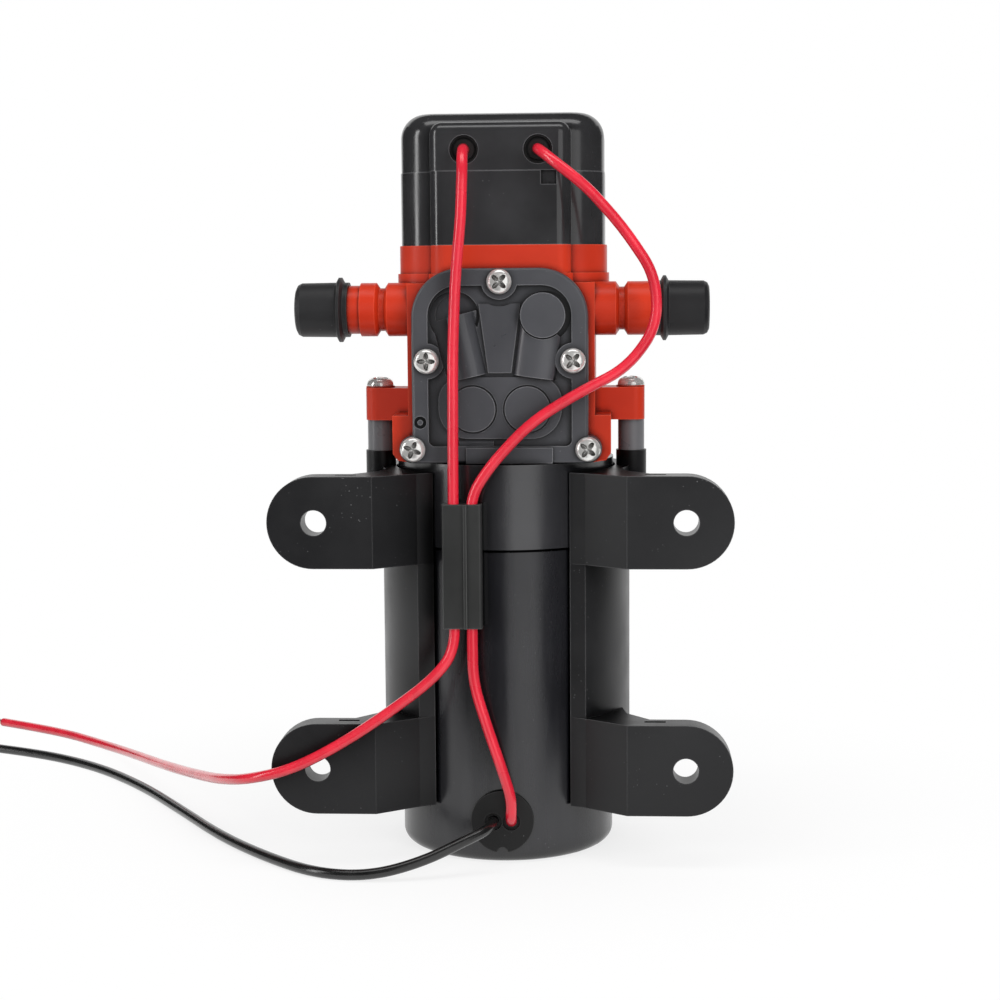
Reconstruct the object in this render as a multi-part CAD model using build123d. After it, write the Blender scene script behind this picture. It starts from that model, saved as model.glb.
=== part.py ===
from build123d import *
import math
import os

# Twelve-volt diaphragm pump for a caravan, standing on the closed end of its motor.
# +Z runs up the motor shaft, -Y points out of the mounting side, all lengths are millimetres.

# Shared clearances
seat_gap = 0.3
slide_gap = 0.05
shaft_gap = 0.03
overrun = 1.0
bend_share = 0.45

# Main sizes that the others follow
can_height = 80.0
can_play = 4.0
bell_plate = 4.0
bell_top = can_height + can_play + bell_plate
head_base = bell_top
ear_base = head_base + 8.4
cradle_radius = 28.0
cradle_wall = 3.2
cradle_gap = 0.8
mount_plane = cradle_radius
motor_radius = cradle_radius - cradle_wall - cradle_gap

# Mounting cradle
cradle_base = 12.1
cradle_top = bell_top - 2.0
lip_outer_share = 0.6536
lip_inner_share = 0.5321
lip_outer_x = lip_outer_share * cradle_radius
lip_inner_x = lip_inner_share * cradle_radius
foot_reach = cradle_radius + 22.2
foot_height = 20.0
foot_depth = 6.1
foot_hole_x = foot_reach - 10.2
foot_hole_low = 22.0
foot_hole_high = cradle_top - 10.0
foot_hole_radius = 2.75
foot_inner_x = cradle_radius - 0.7
gusset_x = cradle_radius + 4.3
gusset_rise_share = 1.23
foot_pocket_length = 4.6
foot_pocket_width = 1.3
foot_pocket_depth = 3.0
foot_pocket_x = gusset_x + 1.1
boss_x = cradle_radius + 0.4
boss_radius = 3.4
boss_height = 11.0
collar_height = 7.0
boss_top = ear_base - collar_height

# Motor cover, can and end bell
motor_height = bell_top - 18.7
motor_wall = 1.7
motor_floor = 1.9
motor_edge = 2.7
can_gap = 0.1
can_wall = 1.5
can_floor = 1.5
bell_radius = motor_radius + 0.35
can_vent_radius = 1.6
can_vent_ring = motor_radius - 10.0

# Lead grommet
grommet_z = 9.6
grommet_radius = 6.9
grommet_lip = 0.9
grommet_neck = 5.2
grommet_mouth = 1.95
grommet_notch = 1.2
lead_spread = 2.0

# Rotor
shaft_radius = 2.0
shaft_foot = 4.4
shaft_top = head_base + 22.0
bearing_height = 4.0
rear_bearing_radius = 5.0
front_bearing_radius = 6.5
core_radius = motor_radius - 7.0
core_base = 27.0
core_height = 32.0
slot_count = 7
slot_mouth = 1.6
slot_radius = 3.1
slot_centre = core_radius - 5.0
winding_height = 5.5
winding_inner = 6.6
winding_outer = core_radius - 1.6
commutator_radius = 6.0
commutator_base = 12.6
commutator_height = 6.6
commutator_groove = 0.5
magnet_inner = core_radius + 0.7
magnet_base = 23.0
magnet_height = 42.0
magnet_span = 136.0

# Brush gear
brush_plate_z = 9.2
brush_plate_thick = 1.6
brush_plate_radius = motor_radius - 4.0
brush_plate_bore = 7.4
brush_width = 4.4
brush_height = 4.6
brush_box_wall = 0.6
brush_box_length = brush_plate_radius - commutator_radius - 5.0
brush_length = brush_box_length - 1.4

# Eccentric drive and diaphragm
throw = 1.2
drive_z = head_base + 15.5
eccentric_radius = 5.5
eccentric_height = 9.0
weight_radius = 10.5
weight_height = 3.0
drive_bearing_radius = 8.0
drive_bearing_height = 8.0
rod_ring_radius = 10.0
rod_ring_height = 7.4
rod_arm_width = 8.0
rod_head_radius = 7.4
rod_head_thick = 1.8
membrane_thick = 0.8
membrane_bead = 1.0
clamp_radius = 7.6
clamp_thick = 1.1
drive_screw_radius = 1.5
drive_screw_head = 2.6
drive_screw_reach = 6.0

# Pump housing
head_half = 20.4
head_front = 16.6
head_back = 20.4
head_corner = 7.0
cavity_base = head_base + 4.0
cavity_top = head_base + 28.0
chamber_radius = 11.9
rim_radius = 13.7
valve_plate_thick = 4.6
dish_radius = 10.8
dish_depth = 2.7
neck_base = head_base + 39.0
neck_top = head_base + 47.2
neck_half = 23.0
neck_collar = 0.45
neck_collar_height = 2.1
bump_half = 15.3
back_front = 12.0
back_back = 21.6
tower_corner = 8.0
bump_corner = 3.0
lobe_x = 23.9
lobe_top = head_base + 10.2
lobe_back = 4.4
lobe_step = head_base + 1.9
lobe_tip_x = 22.8
lobe_tip_z = head_base + 0.4
ear_x = boss_x + 3.0
ear_height = 7.2
ear_top = ear_base + ear_height
ear_half = 4.4
ear_round = 2.6
collar_radius = 2.95

# Ports and their caps
port_z = head_base + 33.3
port_y = -10.6
port_radius = 5.87
port_bore = 3.6
port_tip = 43.4
groove_x = 26.3
groove_width = 2.6
groove_radius = 4.7
left_step_x = 31.0
right_step_x = 33.6
spigot_radius = 5.3
feed_x = 9.6
feed_radius = 2.6
bore_end_x = 5.4
pressure_x = 3.5
pressure_y = -3.5
pressure_z = head_base + 34.0
cap_start = 33.7
cap_tip = 45.3
cap_flange_x = 35.6
cap_flange_radius = 7.1
cap_flange_thick = 0.9
cap_skirt_radius = 6.0
cap_body_radius = 6.0
cap_tip_radius = 5.9
cap_corner = 1.2
cap_bore = 5.32
cap_floor = 1.6

# Manifold cover
cover_half = 19.05
cover_base = head_base + 0.2
cover_top = head_base + 42.2
cover_thick = 4.3
gasket_thick = 0.6
cover_corner = 10.6
cover_edge = 0.7
recess_half = 15.5
recess_base = head_base + 3.9
recess_top = head_base + 38.5
recess_depth = 1.1
recess_corner = 6.5
recess_foot_corner = 1.4
screw_boss = 3.85
lower_panel_half = 13.3
lower_panel_top = head_base + 18.8
lower_panel_rise = 0.7
lower_panel_base = head_base + 5.5
lower_panel_corner = 5.0
lower_panel_round = 6.4
valve_x = 5.9
valve_z = head_base + 11.9
valve_disc_radius = 4.9
valve_disc_rise = 0.45
ring_groove = 0.35
channel_top_x = 9.35
channel_top_z = head_base + 32.1
channel_foot_x = 6.4
channel_radius = 4.5
channel_rise = 0.7
port_disc_radius = 4.8
port_moat = 0.5
panel_top_half = 4.5
panel_foot_half = 2.5
panel_top_z = head_base + 34.6
panel_foot_z = head_base + 19.7
panel_rise = 0.5
band_facet_left = -7.4
band_facet_right = 11.4
band_facet_rise = 0.4
bar_left = -8.9
bar_right = -1.4
bar_height = 1.2
bar_rise = 0.45
mark_x = -17.3
mark_z = head_base + 9.1
mark_radius = 1.35
mark_pin = 0.6
inner_channel_depth = 1.6
inner_channel_half = 2.4

# Valves
flap_x = 5.6
flap_z = head_base + 13.8
flap_radius = 3.8
flap_thick = 0.7
flap_travel = 0.45
flap_pocket = 4.4
flap_stem = 0.9
seat_port_radius = 0.8
seat_port_ring = 2.4
seat_port_count = 5

# Screws
screw_radius = 1.45
screw_hole = 1.55
screw_pass = 1.75
screw_head = 2.75
screw_head_thick = 1.6
screw_head_edge = 0.7
screw_length = 10.5
cross_width = 1.0
cross_span = 3.2
cross_depth = 0.9
top_screw_z = head_base + 39.3
side_screw_x = 15.8
side_screw_z = head_base + 22.3
low_screw_x = 18.95
low_screw_z = head_base + 3.2
long_screw_head = 3.05
long_screw_thick = 2.0
long_screw_foot = boss_top - 8.9

# Pressure switch
base_half = 22.6
cap_half = 22.45
seam_z = head_base + 63.1
switch_top = head_base + 76.0
bump_top = head_base + 73.6
switch_wall = 1.9
switch_round = 5.4
bump_round = 2.6
tab_width = 3.4
tab_height = 3.0
tab_x = 10.6
tab_depth = 0.5
seal_z = head_base + 67.6
left_seal_x = -7.7
right_seal_x = 8.3
seal_hole = 3.1
seal_radius = 3.0
seal_collar = 2.2
seal_depth = 3.6
spigot_outer = 9.8
spigot_wall = 2.2
switch_membrane = 1.2
pocket_floor = head_base + 40.4
plunger_foot = 6.6
plunger_foot_thick = 1.4
plunger_stem = 2.6
plunger_top = head_base + 53.6
plunger_travel = 0.8
spring_coil = 4.6
spring_wire = 0.45
spring_turns = 4.0
guide_floor = head_base + 48.4
guide_thick = 1.6
micro_half_x = 9.8
micro_half_y = 3.2
micro_base = head_base + 55.0
micro_height = 8.6
micro_wall = 0.8
button_radius = 1.2
button_height = 3.4
terminal_width = 4.4
terminal_thick = 0.6
terminal_height = 5.2
shelf_thick = 1.2

# Wires and leads
wire_radius = 1.18
clip_centre_x = -8.1
clip_half = 4.3
clip_top = bell_top - 8.1
clip_base = clip_top - 27.0
clip_back = motor_radius + 0.1
clip_thick = 3.5
clip_feed_x = -9.95
clip_motor_x = -6.1
clip_hole = 1.25
clip_ridge = 0.35
clip_ridge_width = 0.7
clip_ridge_x = -7.4
clip_corner = 0.6
tip_length = 7.0
tip_radius = 0.75

sides = [-1, 1]


def block(x_low, x_high, y_low, y_high, z_low, z_high):
    size = (x_high - x_low, y_high - y_low, z_high - z_low)
    middle = ((x_high + x_low) / 2, (y_high + y_low) / 2, (z_high + z_low) / 2)
    return Pos(*middle) * Box(*size)


def upright(radius, z_low, z_high, x=0, y=0):
    return Pos(x, y, (z_low + z_high) / 2) * Cylinder(radius, z_high - z_low)


def crosswise(radius, x_low, x_high, y, z):
    turned = Rot(0, 90, 0) * Cylinder(radius, x_high - x_low)
    return Pos((x_low + x_high) / 2, y, z) * turned


def facing(radius, y_low, y_high, x, z):
    turned = Rot(90, 0, 0) * Cylinder(radius, y_high - y_low)
    return Pos(x, (y_low + y_high) / 2, z) * turned


def raise_plan(sketch, z_low, z_high):
    return extrude(Plane.XY.offset(z_low) * sketch, amount=z_high - z_low)


def raise_front(sketch, y_back, y_front):
    # The front plane looks along -Y, so depth grows towards the mounting side.
    return extrude(Plane.XZ.offset(-y_back) * sketch, amount=y_back - y_front)


def turned_profile(points):
    # Points are radius and height, revolved about the motor shaft.
    profile = Plane.XZ * make_face(Polyline(*points, close=True))
    return revolve(profile, Axis.Z)


def mirrored(solid):
    return mirror(solid, about=Plane.YZ)


# Mounting cradle
def foot_plate(hole_z):
    half = foot_height / 2
    rise = (foot_inner_x - gusset_x) * gusset_rise_share
    plan = make_face(Polyline(
        (lip_inner_x, -lip_seat_y()),
        (lip_outer_x, -lip_seat_y() - (lip_outer_x - lip_inner_x) / 2),
        (foot_inner_x, -mount_plane),
        (foot_reach, -mount_plane),
        (foot_reach, -mount_plane + foot_depth),
        (gusset_x, -mount_plane + foot_depth),
        (foot_inner_x, -mount_plane + foot_depth - rise),
        (cradle_inner(), 0),
        close=True))
    body = raise_plan(plan, hole_z - half, hole_z + half)
    end_x = foot_reach - half
    outline = Pos(end_x, hole_z) * Circle(half)
    outline += Pos(end_x / 2, hole_z) * Rectangle(end_x, foot_height)
    return body & raise_front(outline, overrun, -mount_plane - overrun)


def cradle_inner():
    return cradle_radius - cradle_wall


def lip_seat_y():
    return math.sqrt(cradle_inner() ** 2 - lip_inner_x ** 2)


def base_cradle():
    ring = Circle(cradle_radius) - Circle(cradle_inner())
    mouth = make_face(Polyline(
        (-lip_inner_x, -lip_seat_y()),
        (lip_inner_x, -lip_seat_y()),
        (lip_outer_x, -math.sqrt(cradle_radius ** 2 - lip_outer_x ** 2)),
        (lip_outer_x, -mount_plane - overrun),
        (-lip_outer_x, -mount_plane - overrun),
        (-lip_outer_x, -math.sqrt(cradle_radius ** 2 - lip_outer_x ** 2)),
        close=True))
    mouth += Pos(0, -cradle_inner() / 2) * Rectangle(2 * lip_inner_x, cradle_inner())
    wall = raise_plan(ring - mouth, cradle_base, cradle_top)
    feet = foot_plate(foot_hole_low) + foot_plate(foot_hole_high)
    boss = upright(boss_radius, boss_top - boss_height, boss_top, boss_x)
    boss += Pos(boss_x, 0, boss_top - boss_height - boss_radius / 2) * Cone(
        0, boss_radius, boss_radius)
    side = feet + boss
    hollow = upright(cradle_inner(), 0, boss_top + overrun)
    side -= hollow
    cradle = wall + side + mirrored(side)
    for hole_z in (foot_hole_low, foot_hole_high):
        for turn in sides:
            spot = turn * foot_hole_x
            cradle -= facing(foot_hole_radius, -mount_plane - overrun, 0, spot, hole_z)
            pocket_x = turn * foot_pocket_x
            lid = hole_z + foot_height / 2
            pocket_y = -mount_plane + foot_depth / 2
            cradle -= block(pocket_x - foot_pocket_length / 2, pocket_x + foot_pocket_length / 2,
                            pocket_y, pocket_y + foot_pocket_width,
                            lid - foot_pocket_depth, lid + overrun)
    for turn in sides:
        cradle -= upright(screw_hole, long_screw_foot - overrun, boss_top + overrun, turn * boss_x)
    return cradle


# Motor
def motor_cover():
    inner = motor_radius - motor_wall
    body = upright(motor_radius, 0, motor_height)
    body = fillet(body.edges().group_by(Axis.Z)[0], motor_edge)
    body -= upright(inner, motor_floor, motor_height + overrun)
    body -= facing(grommet_neck + slide_gap, -motor_radius - overrun, -inner + 2 * motor_wall,
                   0, grommet_z)
    return body


def steel_can():
    outer = motor_radius - motor_wall - can_gap
    inner = outer - can_wall
    body = upright(outer, motor_floor, can_height)
    body = fillet(body.edges().group_by(Axis.Z)[0], can_wall / 2)
    body -= upright(inner, motor_floor + can_floor, can_height + overrun)
    cup_top = rear_bearing_base() + bearing_height
    body += upright(rear_bearing_radius + can_wall, motor_floor + can_floor, cup_top)
    body -= upright(rear_bearing_radius, rear_bearing_base(), cup_top + overrun)
    body -= upright(shaft_radius + seat_gap, motor_floor + can_floor, cup_top)
    for step in range(4):
        angle = math.radians(90 * step + 45)
        body -= upright(can_vent_radius, motor_floor - overrun, motor_floor + can_floor + overrun,
                        can_vent_ring * math.cos(angle), can_vent_ring * math.sin(angle))
    body -= facing(grommet_neck + slide_gap, -outer - overrun, -inner + 2 * motor_wall,
                   0, grommet_z)
    return body


def rear_bearing_base():
    return motor_floor + can_floor


def end_bell():
    outer = motor_radius - motor_wall
    body = upright(bell_radius, motor_height, bell_top)
    body -= upright(outer, motor_height - overrun, bell_top - bell_plate)
    body -= upright(front_bearing_radius, bell_top - bell_plate - overrun, bell_top + overrun)
    return body


def bearing(outer, z_low):
    body = upright(outer, z_low, z_low + bearing_height)
    body -= upright(shaft_radius + shaft_gap, z_low - overrun, z_low + bearing_height + overrun)
    return body


def lead_grommet():
    outer = motor_radius + grommet_lip
    inner = motor_radius - motor_wall - can_gap - can_wall
    shell = upright(outer, 0, 2 * grommet_z) - upright(
        motor_radius + slide_gap / 2, -overrun, 2 * grommet_z + overrun)
    disc = shell & facing(grommet_radius, -outer - overrun, 0, 0, grommet_z)
    inside = upright(inner - slide_gap, 0, 2 * grommet_z) - upright(
        inner - grommet_lip, -overrun, 2 * grommet_z + overrun)
    neck = facing(grommet_neck, -outer, -inner + 2 * grommet_lip, 0, grommet_z)
    neck &= upright(motor_radius + grommet_lip / 2, 0, 2 * grommet_z)
    neck -= upright(inner - grommet_lip, -overrun, 2 * grommet_z + overrun)
    grommet = disc + neck
    grommet += inside & facing(grommet_neck, -outer, 0, 0, grommet_z)
    for turn in sides:
        grommet -= facing(wire_radius + slide_gap, -outer - overrun, 0, turn * lead_spread,
                          grommet_z)
        grommet -= facing(grommet_mouth, -outer - overrun, -motor_radius, turn * lead_spread,
                          grommet_z)
    notch = facing(grommet_notch, -outer - overrun, -motor_radius, 0, grommet_z - grommet_radius)
    return grommet - notch


def field_magnets():
    outer = motor_radius - motor_wall - can_gap - can_wall - slide_gap
    ring = upright(outer, magnet_base, magnet_base + magnet_height)
    ring -= upright(magnet_inner, magnet_base - overrun, magnet_base + magnet_height + overrun)
    half = math.radians(magnet_span / 2)
    reach = 2 * outer
    wedge = make_face(Polyline(
        (0, 0),
        (reach * math.cos(half), reach * math.sin(half)),
        (reach, 0),
        (reach * math.cos(half), -reach * math.sin(half)),
        close=True))
    wedge += Pos(reach / 2, 0) * Rectangle(reach, 2 * reach * math.cos(half))
    side = ring & raise_plan(wedge, magnet_base - overrun, magnet_base + magnet_height + overrun)
    side -= block(-reach, 0, -reach, reach, magnet_base - overrun,
                  magnet_base + magnet_height + overrun)
    return side + mirrored(side)


def rotor_shaft():
    body = upright(shaft_radius, shaft_foot, shaft_top)
    return chamfer(body.edges().filter_by(GeomType.CIRCLE), shaft_radius / 5)


def slot_places():
    for step in range(slot_count):
        yield 2 * math.pi * step / slot_count


def armature_core():
    top = core_base + core_height
    body = upright(core_radius, core_base, top)
    for angle in slot_places():
        body -= upright(slot_radius, core_base - overrun, top + overrun,
                        slot_centre * math.cos(angle), slot_centre * math.sin(angle))
        mouth = block(slot_centre, core_radius + overrun, -slot_mouth / 2, slot_mouth / 2,
                      core_base - overrun, top + overrun)
        body -= Rot(0, 0, math.degrees(angle)) * mouth
    return body - upright(shaft_radius, core_base - overrun, top + overrun)


def armature_windings():
    top = core_base + core_height
    middle = (winding_inner + winding_outer) / 2
    shape = [
        (winding_inner, 0),
        (winding_outer, 0),
        (winding_outer, winding_height / 2),
        (middle + winding_height / 2, winding_height),
        (winding_inner + winding_height / 5, winding_height)]
    upper = Pos(0, 0, top) * turned_profile(shape)
    lower = mirror(upper, about=Plane.XY.offset(core_base + core_height / 2))
    coils = upper + lower
    for angle in slot_places():
        coils += upright(slot_radius - slide_gap, core_base, top,
                         slot_centre * math.cos(angle), slot_centre * math.sin(angle))
    return coils


def commutator():
    top = commutator_base + commutator_height
    body = upright(commutator_radius, commutator_base, top)
    body += upright(commutator_radius + commutator_groove, top - 2 * commutator_groove, top)
    for angle in slot_places():
        cut = block(commutator_radius - commutator_groove, commutator_radius + overrun,
                    -commutator_groove / 2, commutator_groove / 2,
                    commutator_base - overrun, top + overrun)
        body -= Rot(0, 0, math.degrees(angle)) * cut
    return body - upright(shaft_radius, commutator_base - overrun, top + overrun)


def brush_height_z():
    return commutator_base + commutator_height / 2 - 2 * commutator_groove


def brush_plate():
    top = brush_plate_z + brush_plate_thick
    body = upright(brush_plate_radius, brush_plate_z, top)
    start = commutator_radius + 2 * brush_box_wall
    end = start + brush_box_length
    half = brush_width / 2 + brush_box_wall
    low = brush_height_z() - brush_height / 2
    high = low + brush_height
    side = block(start, end, -half, half, top, high + brush_box_wall)
    slot_half = brush_width / 2 + slide_gap
    side -= block(start - overrun, end - brush_box_wall, -slot_half, slot_half,
                  low - slide_gap, high + slide_gap)
    body += side + mirrored(side)
    body -= upright(brush_plate_bore, brush_plate_z - overrun, commutator_base)
    gap_half = grommet_neck + seat_gap
    body -= block(-gap_half, gap_half, -brush_plate_radius - overrun,
                  -brush_plate_bore - 2 * brush_plate_thick,
                  brush_plate_z - overrun, top + overrun)
    return body


def carbon_brushes():
    start = commutator_radius + slide_gap
    half = brush_width / 2
    low = brush_height_z() - brush_height / 2
    side = block(start - commutator_groove, start + brush_length, -half, half, low,
                 low + brush_height)
    side -= upright(start, low - overrun, low + brush_height + overrun)
    return side + mirrored(side)


# Eccentric drive
def eccentric():
    low = drive_z - eccentric_height / 2
    body = upright(eccentric_radius, low, low + eccentric_height, 0, -throw)
    # The half-round weight turns below the rod's head and its clamping washer.
    weight_top = drive_z - clamp_radius - seat_gap
    weight_low = weight_top - weight_height
    weight = upright(weight_radius, weight_low, weight_top)
    weight -= block(-weight_radius, weight_radius, -weight_radius, 0, weight_low, weight_top)
    body += weight + upright(eccentric_radius, weight_low, low)
    return body - upright(shaft_radius, weight_low - overrun, low + eccentric_height + overrun)


def drive_bearing():
    low = drive_z - drive_bearing_height / 2
    high = drive_z + drive_bearing_height / 2
    groove = (drive_bearing_radius - eccentric_radius) / 4
    body = upright(drive_bearing_radius, low, high, 0, -throw)
    body -= upright(eccentric_radius + shaft_gap, low - overrun, high + overrun, 0, -throw)
    middle = (drive_bearing_radius + eccentric_radius) / 2
    race = upright(middle + groove, low - overrun, low + groove, 0, -throw)
    race -= upright(middle - groove, low - overrun, low + groove, 0, -throw)
    return body - race - mirror(race, about=Plane.XY.offset(drive_z))


def rod_head_y():
    # The rod head's front face, where it meets the back of the membrane.
    return -head_front + valve_plate_thick + slide_gap


def connecting_rod():
    half = rod_ring_height / 2
    ring = upright(rod_ring_radius, drive_z - half, drive_z + half, 0, -throw)
    arm = block(-rod_arm_width / 2, rod_arm_width / 2, rod_head_y(),
                -throw - drive_bearing_radius, drive_z - half, drive_z + half)
    head = facing(rod_head_radius, rod_head_y(), rod_head_y() + rod_head_thick, 0, drive_z)
    body = ring + arm + head
    body -= upright(drive_bearing_radius, drive_z - half - overrun, drive_z + half + overrun,
                    0, -throw)
    return body - facing(drive_screw_radius, rod_head_y() - overrun,
                         rod_head_y() + drive_screw_reach / 4, 0, drive_z)


def diaphragm():
    # A convoluted rubber disc: a clamped bead, one rolled fold and a flat centre.
    bead_back = -head_front + valve_plate_thick + membrane_bead
    centre_front = rod_head_y() - membrane_thick
    fold = clamp_radius + seat_gap
    points = [
        (drive_screw_radius + slide_gap, -centre_front),
        (fold, -centre_front),
        (chamber_radius - membrane_bead, -bead_back + membrane_bead - slide_gap),
        (rim_radius - seat_gap, -bead_back + membrane_bead),
        (rim_radius - seat_gap, -bead_back + slide_gap),
        (chamber_radius - membrane_bead, -bead_back + slide_gap),
        (fold, -rod_head_y()),
        (drive_screw_radius + slide_gap, -rod_head_y())]
    disc = turned_profile(points)
    return Pos(0, 0, drive_z) * Rot(90, 0, 0) * disc


def clamp_washer():
    front = rod_head_y() - membrane_thick - clamp_thick
    back = rod_head_y() - membrane_thick
    body = facing(clamp_radius, front, back, 0, drive_z)
    body = fillet(body.faces().sort_by(Axis.Y)[0].edges(), clamp_thick / 3)
    sink = Pos(0, front + clamp_thick / 2, drive_z) * Rot(90, 0, 0) * Cone(
        drive_screw_radius + slide_gap, drive_screw_head + slide_gap, clamp_thick)
    body -= sink
    return body - facing(drive_screw_radius + slide_gap, front - overrun, back + overrun, 0, drive_z)


def drive_screw():
    front = rod_head_y() - membrane_thick - clamp_thick
    head = Pos(0, front + clamp_thick / 2, drive_z) * Rot(90, 0, 0) * Cone(
        drive_screw_radius, drive_screw_head, clamp_thick)
    shank = facing(drive_screw_radius - slide_gap, front + clamp_thick / 2,
                   rod_head_y() + drive_screw_reach / 5, 0, drive_z)
    body = head + shank
    slot = block(-drive_screw_head, drive_screw_head, front - overrun, front + clamp_thick / 3,
                 drive_z - cross_width / 4, drive_z + cross_width / 4)
    return body - slot


# Pump housing
def tower_plan(half, grow):
    back = Pos(0, (back_back + grow - back_front - grow) / 2) * RectangleRounded(
        2 * half, back_back + back_front + 2 * grow, tower_corner)
    bump = Pos(0, -head_front / 2) * RectangleRounded(
        2 * (bump_half + grow), head_front, bump_corner)
    return back + bump


def head_plan():
    rear = Pos(0, (head_back - head_front) / 2) * RectangleRounded(
        2 * head_half, head_back + head_front, head_corner)
    front = Pos(0, -head_front / 2) * Rectangle(2 * head_half, head_front)
    return rear + front


def head_lobe():
    outline = make_face(Polyline(
        (0, lobe_top),
        (lobe_x, lobe_top),
        (lobe_x, lobe_step),
        (lobe_tip_x, lobe_tip_z),
        (lobe_tip_x - screw_head, head_base),
        (0, head_base),
        close=True))
    return raise_front(outline, -lobe_back, -head_front)


def head_ear():
    body = block(head_half - overrun, ear_x, -ear_half, ear_half, ear_base, ear_top)
    outer = body.edges().filter_by(Axis.Z).sort_by(Axis.X)[-2:]
    body = fillet(outer, ear_round)
    seat = upright(long_screw_head + seat_gap, ear_top, ear_top + seat_gap, boss_x)
    return body + (seat & block(head_half, ear_x, -ear_half, ear_half, ear_top,
                                ear_top + seat_gap))


def port_tube(turn, step_x):
    reach = [
        (0, 0),
        (port_radius, 0),
        (port_radius, groove_x - groove_width / 2),
        (groove_radius, groove_x - groove_width / 5),
        (groove_radius, groove_x + groove_width / 5),
        (port_radius, groove_x + groove_width / 2),
        (port_radius, step_x),
        (spigot_radius, step_x),
        (spigot_radius, port_tip - cap_corner / 2),
        (spigot_radius - cap_corner / 2, port_tip),
        (0, port_tip)]
    body = turned_profile(reach)
    return Pos(0, port_y, port_z) * Rot(0, 90 * turn, 0) * body


def pump_housing():
    body = raise_plan(head_plan(), head_base, neck_base)
    body += raise_plan(tower_plan(neck_half + neck_collar, neck_collar), neck_base,
                       neck_base + neck_collar_height)
    body += raise_plan(tower_plan(neck_half, 0), neck_base + neck_collar_height, neck_top)
    lobe = head_lobe()
    ear = head_ear()
    ear -= upright(screw_pass, ear_base - overrun, ear_top + overrun, boss_x)
    body += lobe + mirrored(lobe) + ear + mirrored(ear)
    body += port_tube(-1, left_step_x) + port_tube(1, right_step_x)
    plate_back = -head_front + valve_plate_thick
    body -= facing(rim_radius, -head_front - overrun, plate_back + membrane_bead, 0, drive_z)
    body -= facing(chamber_radius, -head_front, 0, 0, drive_z)
    body -= upright(chamber_radius, cavity_base, cavity_top)
    body -= block(-chamber_radius, chamber_radius, -head_front / 2, 0, cavity_base, cavity_top)
    body -= upright(front_bearing_radius + seat_gap, head_base - overrun, cavity_base + overrun)
    for turn in sides:
        far = turn * (port_tip + overrun)
        near = turn * bore_end_x
        body -= crosswise(port_bore, min(far, near), max(far, near), port_y, port_z)
        body -= facing(feed_radius, -head_front - overrun, port_y - slide_gap, turn * feed_x,
                       channel_top_z)
    body -= upright(spigot_outer + slide_gap, pocket_floor, neck_top + overrun)
    body -= upright(spigot_outer - 2 * spigot_wall, pocket_floor - switch_membrane,
                    pocket_floor + overrun)
    # The outlet's pressure reaches the switch membrane through two small cross drillings.
    body -= crosswise(seat_port_radius, pressure_x, bore_end_x + overrun, port_y, pressure_z)
    body -= facing(seat_port_radius, port_y, pressure_y, pressure_x, pressure_z)
    body -= upright(seat_port_radius, pressure_z, pocket_floor, pressure_x, pressure_y)
    tip = screw_length - cover_thick - gasket_thick + seat_gap
    for place_x, place_z in cover_screw_places():
        body -= facing(screw_hole, -head_front - overrun, -head_front + tip, place_x, place_z)
    return body


def cover_screw_places():
    return [
        (0, top_screw_z),
        (-side_screw_x, side_screw_z),
        (side_screw_x, side_screw_z),
        (-low_screw_x, low_screw_z),
        (low_screw_x, low_screw_z)]


def valve_plate():
    front = -head_front
    back = front + valve_plate_thick
    body = facing(rim_radius - slide_gap, front, back, 0, drive_z)
    dish = facing(dish_radius, back - dish_depth, back + overrun, 0, drive_z)
    dish = fillet(dish.faces().sort_by(Axis.Y)[0].edges(), dish_depth / 2)
    body -= dish
    web_front = back - dish_depth
    body -= facing(flap_pocket, web_front - flap_thick - flap_travel, web_front + overrun,
                   -flap_x, flap_z)
    for turn in sides:
        for step in range(seat_port_count):
            angle = 2 * math.pi * step / seat_port_count
            body -= facing(seat_port_radius, front - overrun, back,
                           turn * flap_x + seat_port_ring * math.cos(angle),
                           flap_z + seat_port_ring * math.sin(angle))
        body -= facing(flap_stem + slide_gap, front - overrun, back, turn * flap_x, flap_z)
    return body


def flap_valve(turn):
    # A rubber disc on a short stem, lifting off its ring of ports by the travel.
    front = -head_front
    web_front = front + valve_plate_thick - dish_depth
    if turn < 0:
        disc_low = web_front - flap_thick - flap_travel
        body = facing(flap_radius, disc_low, disc_low + flap_thick, turn * flap_x, flap_z)
        return body + facing(flap_stem, front, disc_low + flap_thick, turn * flap_x, flap_z)
    body = facing(flap_radius, front - flap_thick, front, turn * flap_x, flap_z)
    return body + facing(flap_stem, front - flap_thick, web_front, turn * flap_x, flap_z)


def cover_gasket():
    front = -head_front - gasket_thick
    outline = cover_outline()
    body = raise_front(outline, -head_front, front)
    body -= facing(rim_radius - membrane_bead, front - overrun, -head_front + overrun, 0, drive_z)
    for turn in sides:
        body -= facing(feed_radius, front - overrun, 0, turn * feed_x, channel_top_z)
    for place_x, place_z in cover_screw_places():
        body -= facing(screw_pass, front - overrun, 0, place_x, place_z)
    return body


def cover_outline():
    height = cover_top - low_screw_z
    outline = Pos(0, (cover_top + low_screw_z) / 2) * Rectangle(2 * cover_half, height)
    outline = fillet(outline.vertices().group_by(Axis.Y)[-1], cover_corner)
    foot = low_screw_z - cover_base
    outline += Pos(0, low_screw_z - foot / 2) * Rectangle(2 * low_screw_x, foot)
    for turn in sides:
        outline += Pos(turn * low_screw_x, low_screw_z) * Circle(foot)
    return outline


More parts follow.
